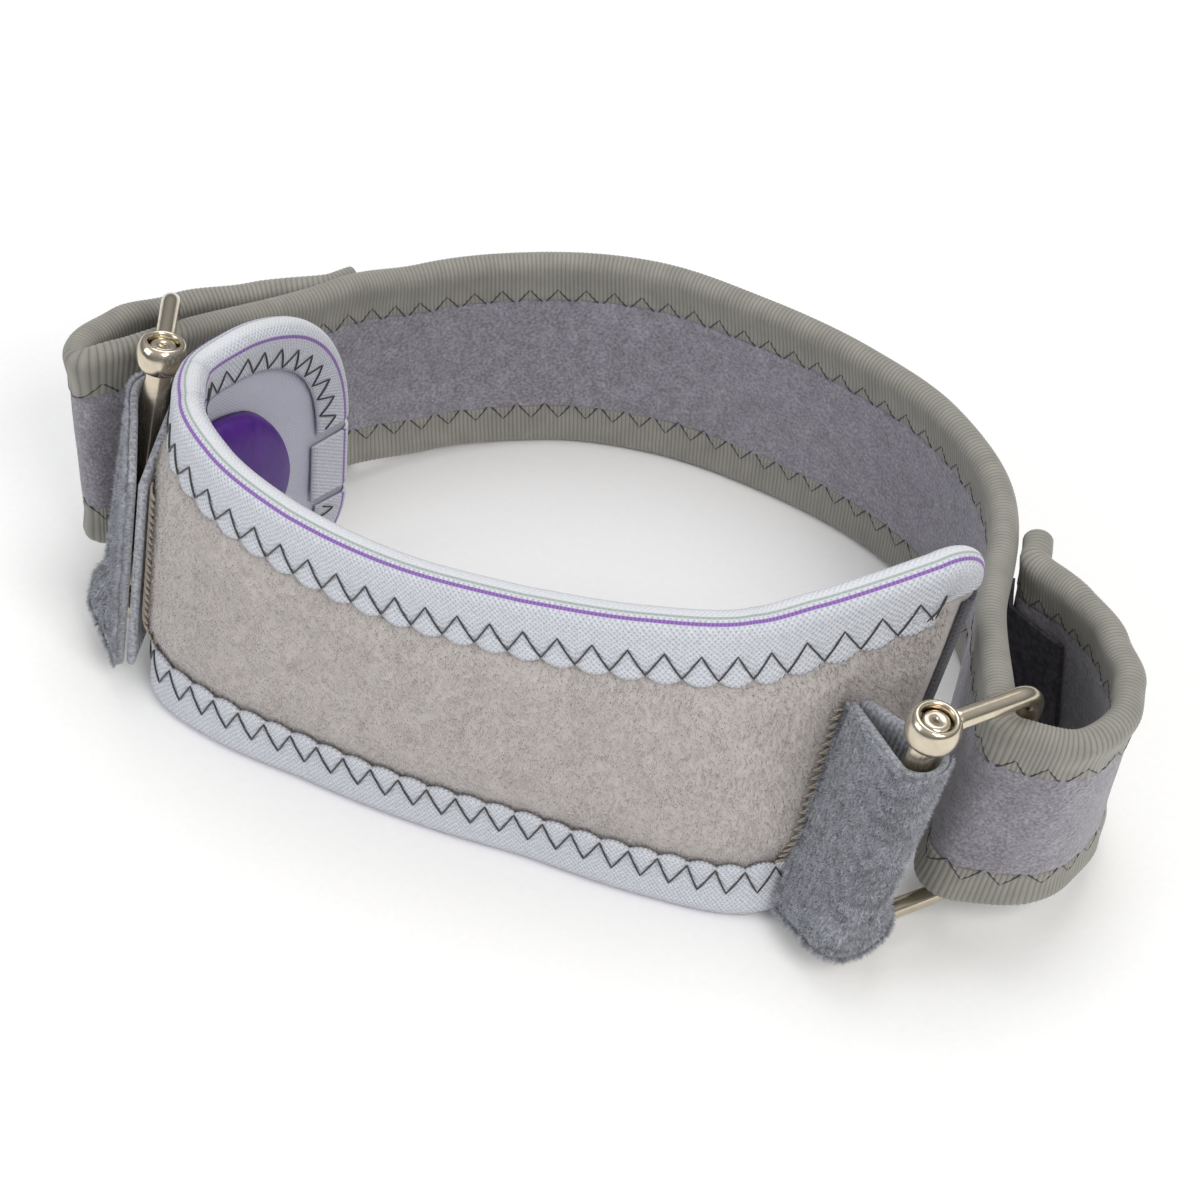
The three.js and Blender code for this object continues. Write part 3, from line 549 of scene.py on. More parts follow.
def noise(tree, coords, scale, detail=3.0):
    """Noise whose scale is in features per mm."""
    return add_node(tree, "ShaderNodeTexNoise", {
        "Vector": coords, "Scale": scale, "Detail": detail}).outputs[0]


def ramp(tree, value, stops):
    """A colour from a value: stops are (place, linear colour)."""
    node = add_node(tree, "ShaderNodeValToRGB", {0: value})
    elements = node.color_ramp.elements
    while len(elements) < len(stops):
        elements.new(0.5)
    for element, (place, colour) in zip(elements, stops):
        element.position = place
        element.color = colour
    return node.outputs[0]


def mix(tree, factor, a, b, blend="MIX"):
    """A colour between two, or two colours blended."""
    node = add_node(tree, "ShaderNodeMix", {0: factor, 6: a, 7: b}, data_type="RGBA",
                    blend_type=blend)
    return node.outputs[2]


def math_node(tree, operation, a, b=0.0):
    """One sum, product or other operation on two values."""
    return add_node(tree, "ShaderNodeMath", {0: a, 1: b}, operation=operation).outputs[0]


def wave(tree, value, pitch):
    """A sine of a value in mm, which repeats every pitch."""
    return math_node(tree, "SINE", math_node(tree, "MULTIPLY", value, 2 * np.pi / pitch))


def humps(tree, value, pitch):
    """Rounded humps from 0 to 1, one every pitch."""
    return math_node(tree, "ABSOLUTE", wave(tree, value, 2 * pitch))


def eased(tree, value, start, stop, first, last):
    """Goes from the first value to the last while the input goes from start to stop."""
    return add_node(tree, "ShaderNodeMapRange", {
        0: value, 1: start, 2: stop, 3: first, 4: last}).outputs[0]


def band(tree, value, centre, half, soft):
    """1 within a band about a centre, easing to 0 over a soft edge."""
    away = math_node(tree, "ABSOLUTE", math_node(tree, "SUBTRACT", value, centre))
    return eased(tree, away, half, half + soft, 1.0, 0.0)


def bumped(tree, shader, height, strength, depth):
    """Joins a height to the shader as a bump of some depth in mm."""
    bump = add_node(tree, "ShaderNodeBump", {
        "Height": height, "Strength": strength, "Distance": depth * MM})
    tree.links.new(bump.outputs[0], shader.inputs["Normal"])


def tone(colour, factor):
    """A lighter or darker version of a linear colour."""
    return (*[min(1.0, c * factor) for c in colour[:3]], 1.0)


def shades(tree, value, base, stops):
    """A colour from a value: stops are (place, how much lighter or darker than the base)."""
    return ramp(tree, value, [(place, tone(base, factor)) for place, factor in stops])


def mottled(tree, colour, value, low, high, places=(0.3, 0.7)):
    """A colour multiplied by low where the value is small and by high where it is large."""
    stops = [(place, (*np.broadcast_to(factor, 3).tolist(), 1))
             for place, factor in zip(places, (low, high))]
    return mix(tree, 1.0, colour, ramp(tree, value, stops), "MULTIPLY")


def finish(tree, shader, colour, rough, sheen=0.0, specular=0.5):
    """Joins a colour to the shader, and sets its roughness, sheen and specular level."""
    tree.links.new(colour, shader.inputs["Base Color"])
    shader.inputs["Roughness"].default_value = rough
    shader.inputs["Sheen Weight"].default_value = sheen
    shader.inputs["Specular IOR Level"].default_value = specular


def brushed_velour(colours):
    """Nylon velour laminated on neoprene foam: a short brushed loop pile that looks mottled
    at 1 to 3 mm, grainy at the loop size of 0.4 mm, and dull."""
    material, tree, shader = new_material("nylon velour on neoprene")
    coords = object_coords(tree)
    grain = noise(tree, coords, 1.9, 4.0)
    patch = noise(tree, coords, 0.35)
    colour = shades(tree, grain, colours.velour, ((0.30, 0.66), (0.50, 1.0), (0.72, 1.42)))
    finish(tree, shader, mottled(tree, colour, patch, 0.84, 1.12), 0.95, 0.35, 0.15)
    bumped(tree, shader, grain, 0.7, 0.5)
    return material


def ribbed_stretch_tape(colours):
    """Polyamide stretch binding tape: ribs across it (in the mesh), each covered in filaments
    0.3 mm apart that run along the rib and catch a soft light. The colour is darker in the
    grooves between the ribs, painted shade, and lighter on their crests, painted highlight."""
    material, tree, shader = new_material("polyamide ribbed stretch tape")
    along, across = surface_coords(tree)
    patch = noise(tree, object_coords(tree), 0.25)
    # Colour from the ribs: painted shade in the grooves, painted highlight on the crests
    rib = humps(tree, along, RIB_PITCH)
    colour = shades(tree, rib, colours.strap_tape, ((0.0, 0.62), (0.45, 0.95), (1.0, 1.12)))
    finish(tree, shader, mottled(tree, colour, patch, 0.9, 1.08), 0.72, 0.25, 0.3)
    bumped(tree, shader, wave(tree, across, 0.3), 0.25, 0.08)
    return material


def knitted_elastic(colours, name, stripes, lip=None):
    """Knitted polyester elastic: pale, with wales 1 mm apart crossed by courses 0.8 mm apart, a
    thin green line and woven purple stripes. The colour is darker in the hollows between the
    stitches, painted shade, and lighter on their loops, painted highlight. Distance across is
    counted from the fold. The lip is the colour of the front half, where it differs."""
    material, tree, shader = new_material(name)
    along, across = surface_coords(tree)
    stitches = math_node(tree, "MULTIPLY", wave(tree, across, 1.0), wave(tree, along, 0.8))
    knit = math_node(tree, "MULTIPLY_ADD", stitches, 0.5)
    speck = noise(tree, object_coords(tree), 2.2)
    # Colour from the knit: painted shade in its hollows, painted highlight on its loops
    colour = shades(tree, knit, colours.pad_tape, ((0.0, 0.66), (0.3, 1.0), (0.6, 1.12)))
    colour = mottled(tree, colour, speck, (0.86, 0.86, 0.87), 1.07)
    colour = mix(tree, band(tree, across, 0.3, 0.6, 0.9), colour, colours.pad_tape_rim)
    line = math_node(tree, "MULTIPLY", band(tree, across, -0.75, 0.14, 0.14), 0.75)
    colour = mix(tree, line, colour, linear("#8f9c92"))
    purple = shades(tree, humps(tree, along, 0.55), colours.stripe, ((0.0, 1.9), (0.5, 1.0)))
    for centre in stripes:
        colour = mix(tree, band(tree, across, centre, 0.22, 0.14), colour, purple)
    if lip is not None:
        colour = mix(tree, eased(tree, across, 2.0, 2.4, 1.0, 0.0), colour, lip)
    finish(tree, shader, colour, 0.85, 0.2, 0.25)
    bumped(tree, shader, knit, 0.8, 0.22)
    return material


def brushed_plush(colours):
    """Brushed polyester plush: the backing under the pile of single fibres, of the same colour
    and a little mottled."""
    material, tree, shader = new_material("brushed polyester plush")
    coords = object_coords(tree)
    grain = noise(tree, coords, 1.6, 4.0)
    patch = noise(tree, coords, 0.16)
    colour = shades(tree, grain, colours.plush, ((0.3, 0.84), (0.5, 0.96), (0.75, 1.08)))
    colour = mottled(tree, colour, patch, (0.96, 0.955, 0.95), (1.04, 1.04, 1.045))
    finish(tree, shader, colour, 0.95, 0.3, 0.15)
    bumped(tree, shader, grain, 0.4, 0.25)
    return material


def pile_fibre(name, dark, light, tuft, swing):
    """Single pile fibres: darker at the root than at the tip, painted shade at the root where the
    fibres shade each other and painted highlight at the tip, and each a little different.
    Tufts, of that many per mm, are lighter or darker by the swing."""
    material, tree, shader = new_material(name)
    shade = add_node(tree, "ShaderNodeAttribute", attribute_name="shade").outputs["Fac"]
    patch = noise(tree, object_coords(tree), tuft)
    # From painted shade at the root to painted highlight at the tip
    colour = ramp(tree, shade, [(0.0, dark), (1.0, light)])
    colour = mottled(tree, colour, patch, 1 - swing, 1 + swing, (0.35, 0.65))
    finish(tree, shader, colour, 0.6, specular=0.3)
    return material


def knitted_lining(colours):
    """Thin knitted polyester lining: pale lavender, smooth, with a fine 0.6 mm knit. The colour is
    darker in the knit's hollows, painted shade, and lighter on its loops, painted highlight.
    """
    material, tree, shader = new_material("knitted polyester lining")
    along, across = surface_coords(tree)
    knit = math_node(tree, "MULTIPLY", wave(tree, across, 0.6), wave(tree, along, 0.6))
    # Colour from the knit: painted shade in its hollows, painted highlight on its loops
    colour = shades(tree, knit, colours.lining, ((0.0, 0.85), (1.0, 1.08)))
    finish(tree, shader, colour, 0.9, 0.2)
    bumped(tree, shader, knit, 0.5, 0.12)
    return material


def cast_gel(colours):
    """Cast silicone gel: deep purple, satin, with a faint uneven skin from the mould."""
    material, tree, shader = new_material("cast silicone gel")
    skin = noise(tree, object_coords(tree), 0.6, 4.0)
    finish(tree, shader, shades(tree, skin, colours.gel, ((0.3, 0.85), (0.7, 1.2))), 0.42)
    shader.inputs["IOR"].default_value = 1.41
    shader.inputs["Subsurface Weight"].default_value = 0.15
    shader.inputs["Subsurface Scale"].default_value = 0.002
    bumped(tree, shader, skin, 0.15, 0.2)
    return material


def loop_webbing(colours):
    """Brushed nylon loop webbing: a blue grey pile on a ribbed woven ground, whose ribs of
    0.7 mm show along the cut edge and on the inside of the fold. The colour is darker in the
    hollows between the ribs, painted shade, and lighter on their crests, painted highlight."""
    material, tree, shader = new_material("brushed nylon loop webbing")
    _, across = surface_coords(tree)
    rib = wave(tree, across, 0.7)
    grain = noise(tree, object_coords(tree), 1.8, 4.0)
    colour = shades(tree, grain, colours.tab, ((0.3, 0.55), (0.5, 1.0), (0.75, 1.5)))
    # Colour from the ribs: painted shade in their hollows, painted highlight on their crests
    colour = mottled(tree, colour, rib, 0.85, 1.05, (0.0, 1.0))
    finish(tree, shader, colour, 0.9, 0.3, 0.2)
    bumped(tree, shader, math_node(tree, "ADD", grain, rib), 0.5, 0.2)
    return material


def moulded_hook(colours):
    """Moulded nylon hook tape: charcoal, with rows of hooks 1 mm apart whose tops are painted
    lighter, a painted glint, with painted shade between the hooks."""
    material, tree, shader = new_material("moulded nylon hook tape")
    coords = object_coords(tree)
    hook_cells_glint = add_node(tree, "ShaderNodeTexVoronoi", {"Vector": coords, "Scale": 1.0}).outputs[0]
    # Lighter at each hook's top, a painted glint, and darker between the hooks, painted shade
    colour = shades(tree, hook_cells_glint, colours.hook, ((0.0, 1.6), (0.4, 1.0), (0.8, 0.5)))
    finish(tree, shader, colour, 0.55)
    bumped(tree, shader, hook_cells_glint, -0.8, 0.5)
    return material


def polished_nickel(colours):
    """Nickel plated steel wire, polished: warm pale metal with faint drawing marks along it
    and slightly duller patches where it has been handled."""
    material, tree, shader = new_material("polished nickel plate")
    coords = object_coords(tree)
    worn = noise(tree, coords, 0.5, 5.0)
    rough = eased(tree, worn, 0.35, 0.75, 0.12, 0.30)
    colour = shades(tree, worn, colours.metal, ((0.3, 1.0), (0.8, 0.82)))
    tree.links.new(colour, shader.inputs["Base Color"])
    tree.links.new(rough, shader.inputs["Roughness"])
    shader.inputs["Metallic"].default_value = 1.0
    bumped(tree, shader, noise(tree, coords, 3.0, 2.0), 0.08, 0.05)
    return material


def spun_thread(name, colour):
    """Spun polyester sewing thread: plies twisted round each other 0.5 mm apart, painted darker
    in the grooves between them, painted shade, and lighter on their crests, painted highlight.
    """
    material, tree, shader = new_material(name)
    along, across = surface_coords(tree)
    ply_shade = wave(tree, math_node(tree, "ADD", along, across), 0.5)
    # Colour from the plies: painted shade in the grooves, painted highlight on the crests
    finish(tree, shader, shades(tree, ply_shade, colour, ((0.0, 0.6), (1.0, 1.3))), 0.7, 0.2)
    return material


def matt_paper():
    """Matt white backdrop paper: an even pale surface with a faint tooth."""
    material, tree, shader = new_material("matt backdrop paper")
    tooth = noise(tree, object_coords(tree), 0.8, 2.0)
    colour = ramp(tree, tooth, [(0.0, linear("#f3f3f2")), (1.0, linear("#f8f8f7"))])
    finish(tree, shader, colour, 0.9, specular=0.1)
    return material


# Properties


def colour_prop(name, code, description):
    """A colour property whose default is an sRGB hex value turned to linear."""
    return FloatVectorProperty(name=name, description=description, default=linear(code),
                               subtype="COLOR", size=4, min=0.0, max=1.0)


class StrapColours(bpy.types.PropertyGroup):
    """Colours of the strap's materials."""

    velour: colour_prop("Velour", "#85828a", "Brushed faces of the long strap")
    strap_tape: colour_prop("Strap tape", "#86847c", "Ribbed tape along the strap")
    hook: colour_prop("Hook", "#47454d", "Hook fastener under the free ends")
    plush: colour_prop("Plush", "#b6b0ad", "Pad's outer face")
    pad_tape: colour_prop("Pad tape", "#c2c5cc", "Knitted tape round the pad")
    pad_tape_rim: colour_prop("Pad tape fold", "#cfd1d6", "Tape where it folds over the rim")
    stripe: colour_prop("Stripe", "#7d5c9c", "Woven stripe along the pad's tape")
    lining: colour_prop("Lining", "#c9cad8", "Knit on the inside of the pad")
    gel: colour_prop("Gel", "#4a1f7a", "Cushion on the inside of the pad")
    tab: colour_prop("Tab", "#999ba2", "Webbing that holds the rings")
    metal: colour_prop("Metal", "#d3c8b4", "Rings and pins")
    dark_thread: colour_prop("Dark thread", "#37363b", "Zigzag stitches")
    beige_thread: colour_prop("Beige thread", "#a2978a", "Stitches along the tabs")


class StrapSizes(bpy.types.PropertyGroup):
    """Sizes that a user would change."""

    stitch: FloatProperty(
        name="Stitch", description="Length of one zigzag", default=0.005, unit="LENGTH")
    pile: FloatProperty(
        name="Pile", description="Length of the pad's pile", default=0.0012, unit="LENGTH")
    fibres: IntProperty(
        name="Fibres", description="Fibres in the pad's pile", default=49000, min=0)


# Pieces of the long strap


def tape_profile():
    """The strap tape's section over the upper edge: a flat lip, a rising wall and a round rim.
    Returns the outer path, the inner path, and distance round the outer path from its top."""
    turn = np.radians(np.linspace(0, 180, 11))
    rim = np.column_stack([2.35 * np.cos(turn), 17.65 + 2.35 * np.sin(turn)])
    wall = np.array([(1.80, 11.7), (1.98, 12.1), (1.98, 13.0), (1.98, 14.0), (2.05, 15.2),
                     (2.22, 16.5)])
    outer = np.concatenate([wall, rim, (wall * [-1, 1])[::-1]])
    inner_rim = np.column_stack([1.75 * np.cos(turn), 17.55 + 1.75 * np.sin(turn)])
    inner_wall = wall - [0.5, 0.0]
    inner = np.concatenate([inner_wall, inner_rim, (inner_wall * [-1, 1])[::-1]])
    length = distances_along(outer)
    return outer, inner, length - length[-1] / 2


def tape_pucker(distance, height, stitch):
    """How far a tape sinks where its stitches pull it in, by distance and height."""
    pull = 0.5 - 0.5 * np.cos(2 * np.pi * distance / stitch)
    return -0.22 * pull * np.exp(-((height - 13.2) / 1.6) ** 2)


def strap_tape(name, sign, material, stitch):
    """Ribbed tape folded over one long edge. Its outer skin is pushed out by a rounded rib
    every RIB_PITCH and pulled in at the stitches."""
    outer, inner, length = tape_profile()
    count = int(STRAP_LENGTH / RIB_PITCH * RIB_SAMPLES)
    s = np.linspace(0.2, STRAP_LENGTH - 0.2, count)
    tangent = unit(np.gradient(outer, axis=0))
    normal = np.column_stack([tangent[:, 1], -tangent[:, 0]])
    rib = RIB_DEEP * (np.abs(np.sin(np.pi * s / RIB_PITCH)) - 0.6)
    push = rib[:, None] + tape_pucker(s[:, None], outer[None, :, 1], stitch)
    skin = outer[None] + push[..., None] * normal[None]
    loop = np.concatenate([skin, np.broadcast_to(inner[::-1], (count,) + inner.shape)], axis=1)
    rows = strap_sweep(s, loop[..., 0], loop[..., 1] * sign)
    return closed_shell(name, rows, material, s, there_and_back(length))


def velour_half(distance, height, stitch):
    """Half thickness of the strap between its tapes, thinner under them, with a slight swell
    and the pull of the stitches along the tapes."""
    inside = smooth((13.3 - np.abs(height)) / 2.2)
    pull = 0.5 + 0.5 * np.cos(2 * np.pi * distance / stitch)
    edge = np.exp(-((np.abs(height) - 11.4) / 0.9) ** 2)
    swell = 0.1 * lumps(distance, height, 9, 21)
    return 1.15 + inside * (0.72 + swell) - 0.16 * pull * edge


def strap_body(material, stitch):
    """The long neoprene strap: two velour faces swept along the route."""
    s = np.linspace(0, STRAP_LENGTH, 420)
    height = np.concatenate([np.linspace(-18.4, -13.6, 4), np.linspace(-13.0, 13.0, 44),
                             np.linspace(13.6, 18.4, 4)])
    half = velour_half(s[:, None], height[None], stitch)
    other = velour_half(s[:, None] + 40, height[None], stitch)
    out = np.concatenate([half, -other[:, ::-1]], axis=1)
    loop = there_and_back(height)
    return closed_shell("strap_velour", strap_sweep(s, out, loop), material, s, loop)


def zigzag(start, stop, period, low, high, per_leg=7):
    """A zigzag in two values: one goes on evenly, the other runs between low and high."""
    legs = int(round((stop - start) / period * 2))
    k = np.linspace(0, legs, legs * per_leg + 1)
    wave = 1 - np.abs((k % 2) - 1)
    lift = np.abs(np.sin(np.pi * k))
    return start + k * period / 2, low + (high - low) * wave, lift


def strap_stitches(name, face, sign, material, stitch):
    """Zigzag thread over a tape's inner border on one face, diving at each needle hole."""
    s, height, lift = zigzag(
        ZIGZAG_BARE, STRAP_LENGTH - ZIGZAG_BARE, stitch, ZIGZAG_LOW, ZIGZAG_HIGH)
    base = 1.93 + tape_pucker(s, height, stitch) - 0.22 * smooth((11.8 - height) / 0.5)
    out = face * (base + 0.05 * lift - 0.05)
    path = strap_place(s, out, height * sign)
    normal = strap_place(s, out + face, height * sign) - path
    return tube(name, path, normal, 0.17, THREAD_SIDES, material)


# Pieces of the pad


def rim_profile():
    """The pad tape's section: out from the pad's face, and depth from the pad's edge.
    A flat front lip, a half round fold over the rim and a shorter inner lip. Returns the
    outer and inner paths and the signed distance from the fold, negative on the front."""
    turn = np.radians(np.linspace(0, 180, 15))
    front = np.column_stack([np.full(12, RIM_FRONT), np.linspace(TAPE_FRONT, RIM_RADIUS + 0.4, 12)])
    back = np.column_stack([np.full(6, RIM_BACK), np.linspace(RIM_RADIUS + 0.5, TAPE_REAR, 6)])

    def path(sunk):
        size = RIM_RADIUS - sunk
        fold = np.column_stack([RIM_MIDDLE + size * np.cos(turn), RIM_RADIUS - size * np.sin(turn)])
        return np.concatenate([front - [sunk, 0], fold, back + [sunk, 0]])

    outer, inner = path(0.0), path(TAPE_THICK)
    length = distances_along(outer)
    top = length[len(front) + len(turn) // 2]
    return outer, inner, length - top


def edge_path(upper, first, last, step):
    """Evenly spaced places along the pad's upper or lower edge, round its end corners too,
    with the direction inward from the edge. Places are (along, height)."""
    reach_left, reach_right = -LEFT_END["reach"] + 1e-3, RIGHT_END["reach"] - 1e-3
    half = np.linspace(0, np.pi, 4000)
    along = reach_left + (reach_right - reach_left) * (0.5 - 0.5 * np.cos(half))
    low, high = pad_limits(along, 0)
    line = np.column_stack([along, high if upper else low])
    keep = (along > reach_left + first) & (along < reach_right - last)
    line = line[keep]
    s = distances_along(line)
    even = np.linspace(0, s[-1], int(s[-1] / step))
    return even, rows_at(even, s, line)


def inward(line, span=9):
    """Unit direction across an edge line, towards the pad's middle, smoothed along it."""
    way = np.gradient(line, axis=0)
    kernel = np.ones(span) / span
    padded = np.pad(way, ((span // 2, span // 2), (0, 0)), mode="edge")
    way = unit(np.column_stack([np.convolve(padded[:, k], kernel, mode="valid") for k in (0, 1)]))
    across = np.column_stack([way[:, 1], -way[:, 0]])
    target = np.column_stack([line[:, 0] / 2, np.full(len(line), PAD_MID)]) - line
    return across * np.sign((across * target).sum(axis=1, keepdims=True))


def scallop(s, stitch):
    """How far the lip's lobes reach beyond its notches: a rounded arch per stitch."""
    return np.abs(np.sin(np.pi * s / stitch)) ** 0.8


def pad_tape(name, line, s, material, stitch, lip=TAPE_FRONT, back=TAPE_REAR, ruffle=1.0):
    """Tape folded over the pad's edge: the section is carried along the edge line. The front
    lip's border is scalloped, and swells between the stitches that pull it in."""
    outer, inner, length = rim_profile()
    section = np.concatenate([outer, inner[::-1]])[None]
    lobe = scallop(s, stitch)[:, None] * ruffle
    depth, front, r = section[..., 1], section[..., 0] > RIM_MIDDLE, RIM_RADIUS
    far = np.clip((depth - r) / (TAPE_FRONT - r), 0, 1)
    border = r + (lip - SCALLOP - r + SCALLOP * lobe) * far
    rear = r + (back - r) * np.clip((depth - r) / (TAPE_REAR - r), 0, 1)
    depth = np.where(depth <= r, depth, np.where(front, border, rear))
    swell = 0.30 * lobe * np.exp(-((far - 0.86) / 0.20) ** 2)
    swell = swell - 0.18 * (1 - lobe) * np.exp(-((far - 0.8) / 0.25) ** 2)
    out = section[..., 0] + np.where(front & (far > 0), swell, 0.0)
    place = line[:, None] + inward(line)[:, None] * depth[..., None]
    rows = pad_place(place[..., 0], place[..., 1], out)
    return closed_shell(name, rows, material, s, there_and_back(length))


def pad_stitches(name, line, s, material, stitch, low, high, out):
    """Zigzag thread on the pad's tape between two depths from the edge, on one face. It stops
    short of the line's end, where the corner leaves it no room."""
    where, depth, lift = zigzag(0.0, s[-1] - 6.5, stitch, high, low)
    keep = where > 0.5
    where, depth, lift = where[keep], depth[keep], lift[keep]
    place = rows_at(where, s, line) + rows_at(where, s, inward(line)) * depth[:, None]
    face = 1 if out > -2 else -1
    rise = out + face * (0.16 * lift - 0.04)
    path = pad_place(place[:, 0], place[:, 1], rise)
    normal = pad_place(place[:, 0], place[:, 1], rise + face) - path
    return tube(name, path, normal, 0.16, THREAD_SIDES, material)


def pad_layer(name, front, back, material):
    """One layer of the pad: a front and a back skin between the pad's limits, with its points
    denser in the end corners."""
    left, right = -LEFT_END["reach"] + PAD_INSET, RIGHT_END["reach"] - PAD_INSET
    ease = 0.5 - 0.5 * np.cos(np.linspace(0, np.pi, 230))
    even = np.linspace(left, right, 230)
    along = (0.55 * (left + (right - left) * ease) + 0.45 * even)[:, None]
    low, high = pad_limits(along, PAD_INSET)
    share = np.linspace(0, 1, 46)[None]
    gap = np.maximum(high - low, 0.4)
    height = low + gap * share
    shape = np.broadcast(along, height).shape
    wide = np.broadcast_to(along, shape)
    skins = [(wide, height, front(wide, height)),
             (wide[:, ::-1], height[:, ::-1], back(wide, height)[:, ::-1])]
    rows = np.concatenate([pad_place(*skin) for skin in skins], axis=1)
    return closed_shell(name, rows, material, along[:, 0], there_and_back(share[0] * PAD_HEIGHT))


def lining_cut():
    """The lining's flat size and area: its greatest height and its length in metres, and its area
    in square metres.
    """
    along = np.linspace(-LEFT_END["reach"] + PAD_INSET, RIGHT_END["reach"] - PAD_INSET, 2000)
    low, high = pad_limits(along, PAD_INSET)
    area = float(((high - low)[:-1] * np.diff(along)).sum()) * MM * MM
    width, length = float(high.max() - low.min()) * MM, float(along[-1] - along[0]) * MM
    return (width, length), area


def cushion_piece(material):
    """The gel cushion: a long oval on the lining. Its section is a rounded bar whose height
    and depth shrink towards both ends like a half ellipse."""
    half = CUSHION_TALL / 2
    seat = LINING_OUT - LINING_DEEP - CUSHION_CLEAR
    turn = np.linspace(0, np.pi, 40)
    x = np.cos(np.linspace(np.pi, 0, 160)) * CUSHION_LENGTH / 2
    from_end = CUSHION_LENGTH / 2 - np.abs(x)
    swell = np.sqrt(np.clip(1 - (np.maximum(half - from_end, 0) / half) ** 2, 4e-4, 1))
    rise = -np.cos(turn)
    bulge = np.sin(turn) ** 0.55
    front = np.column_stack([np.zeros(40), rise])
    back = np.column_stack([bulge, rise])[::-1]
    section = np.concatenate([front, back])
    out = seat - CUSHION_DEEP * section[None, :, 0] * (0.25 + 0.75 * swell[:, None] ** 0.6)
    along = np.broadcast_to((x + CUSHION_ALONG)[:, None], out.shape)
    low, high = pad_limits(along, 0)
    height = (low + high) / 2 + section[None, :, 1] * swell[:, None] * half
    rows = pad_place(along, height, out)
    return closed_shell("gel_cushion_oval", rows, material, x, there_and_back(rise) * half)


# Rings, pins and tabs


def ring_axes(side):
    """A ring's pin place at half height, upright, way to the far bar, and side direction."""
    pin, up, across = (np.array(v) for v in RINGS[side])
    up = unit(up)
    across = unit(across - up * np.dot(across, up))
    return pin, up, across, np.cross(across, up)


def in_ring(side, points):
    """Points given as (towards the far bar, sideways, up) set into a ring's own axes."""
    pin, up, across, beside = ring_axes(side)
    return pin + points[..., 0:1] * across + points[..., 1:2] * beside + points[..., 2:3] * up


def ring_piece(side, material):
    """The wire: straight out from the upper eye, down the far bar and back to the lower eye,
    with round corners, as a 20-sided tube."""
    half, corner = RING_HEIGHT / 2, 4.0
    arc = np.radians(np.linspace(0, 90, 12))
    cx, cz = RING_DEPTH - corner, half - corner
    top = np.column_stack([cx + corner * np.sin(arc), cz + corner * np.cos(arc)])
    down = top[::-1] * [1, -1]
    start = EYE_RADIUS - 1.3
    lead = np.column_stack([np.linspace(start, cx - 0.5, 8), np.full(8, half)])
    bar = np.column_stack([np.full(12, RING_DEPTH), np.linspace(cz - 0.5, 0.5 - cz, 12)])
    line = np.concatenate([lead, top, bar, down, lead[::-1] * [1, -1]])
    path = np.column_stack([line[:, 0], np.zeros(len(line)), line[:, 1]])
    world = in_ring(side, path)
    normals = in_ring(side, path + [0.0, 1.0, 0.0]) - world
    return tube(f"ring_{side}_wire", world, normals, WIRE_RADIUS, 20, material)


def lathe(name, profile, centre_height, side, material, turns=40):
    """A closed profile of (radius, height) turned round the ring's pin axis."""
    angle = np.linspace(0, 2 * np.pi, turns, endpoint=False)
    grid = np.stack([
        profile[:, 0][None] * np.cos(angle)[:, None],
        profile[:, 0][None] * np.sin(angle)[:, None],
        np.broadcast_to(profile[:, 1] + centre_height, (turns, len(profile))),
    ], axis=-1)
    n, m = grid.shape[:2]
    index = np.arange(n * m).reshape(n, m)
    right, up = np.roll(index, -1, axis=0), np.roll(index, -1, axis=1)
    corner = np.roll(right, -1, axis=1)
    faces = np.stack([index, right, corner, up], axis=-1).reshape(-1, 4)
    return build(name, in_ring(side, grid).reshape(-1, 3), [faces], material)


def eye_profile():
    """An eye's section: a barrel with a full round outer side, counted from inside upward."""
    inner, outer, half = PIN_RADIUS + 0.35, EYE_RADIUS, EYE_HEIGHT / 2
    turn = np.radians(np.linspace(-78, 78, 15))
    bulge = np.column_stack([inner + 0.35 + (outer - inner - 0.35) * np.cos(turn),
                             half * np.sin(turn) / np.sin(turn[-1])])
    return np.concatenate([[(inner, -half + 0.35), (inner + 0.2, -half)], bulge,
                           [(inner + 0.2, half), (inner, half - 0.35)]])


def pin_profile():
    """A pin's section: a closed rod with rounded ends."""
    half = (RING_HEIGHT + EYE_HEIGHT) / 2 - 0.6
    turn = np.radians(np.linspace(0, 90, 6))
    top = np.column_stack([PIN_RADIUS - 0.7 + 0.7 * np.cos(turn), half - 0.7 + 0.7 * np.sin(turn)])
    return np.concatenate([[(0.02, -half)], top[::-1] * [1, -1], top, [(0.02, half)]])


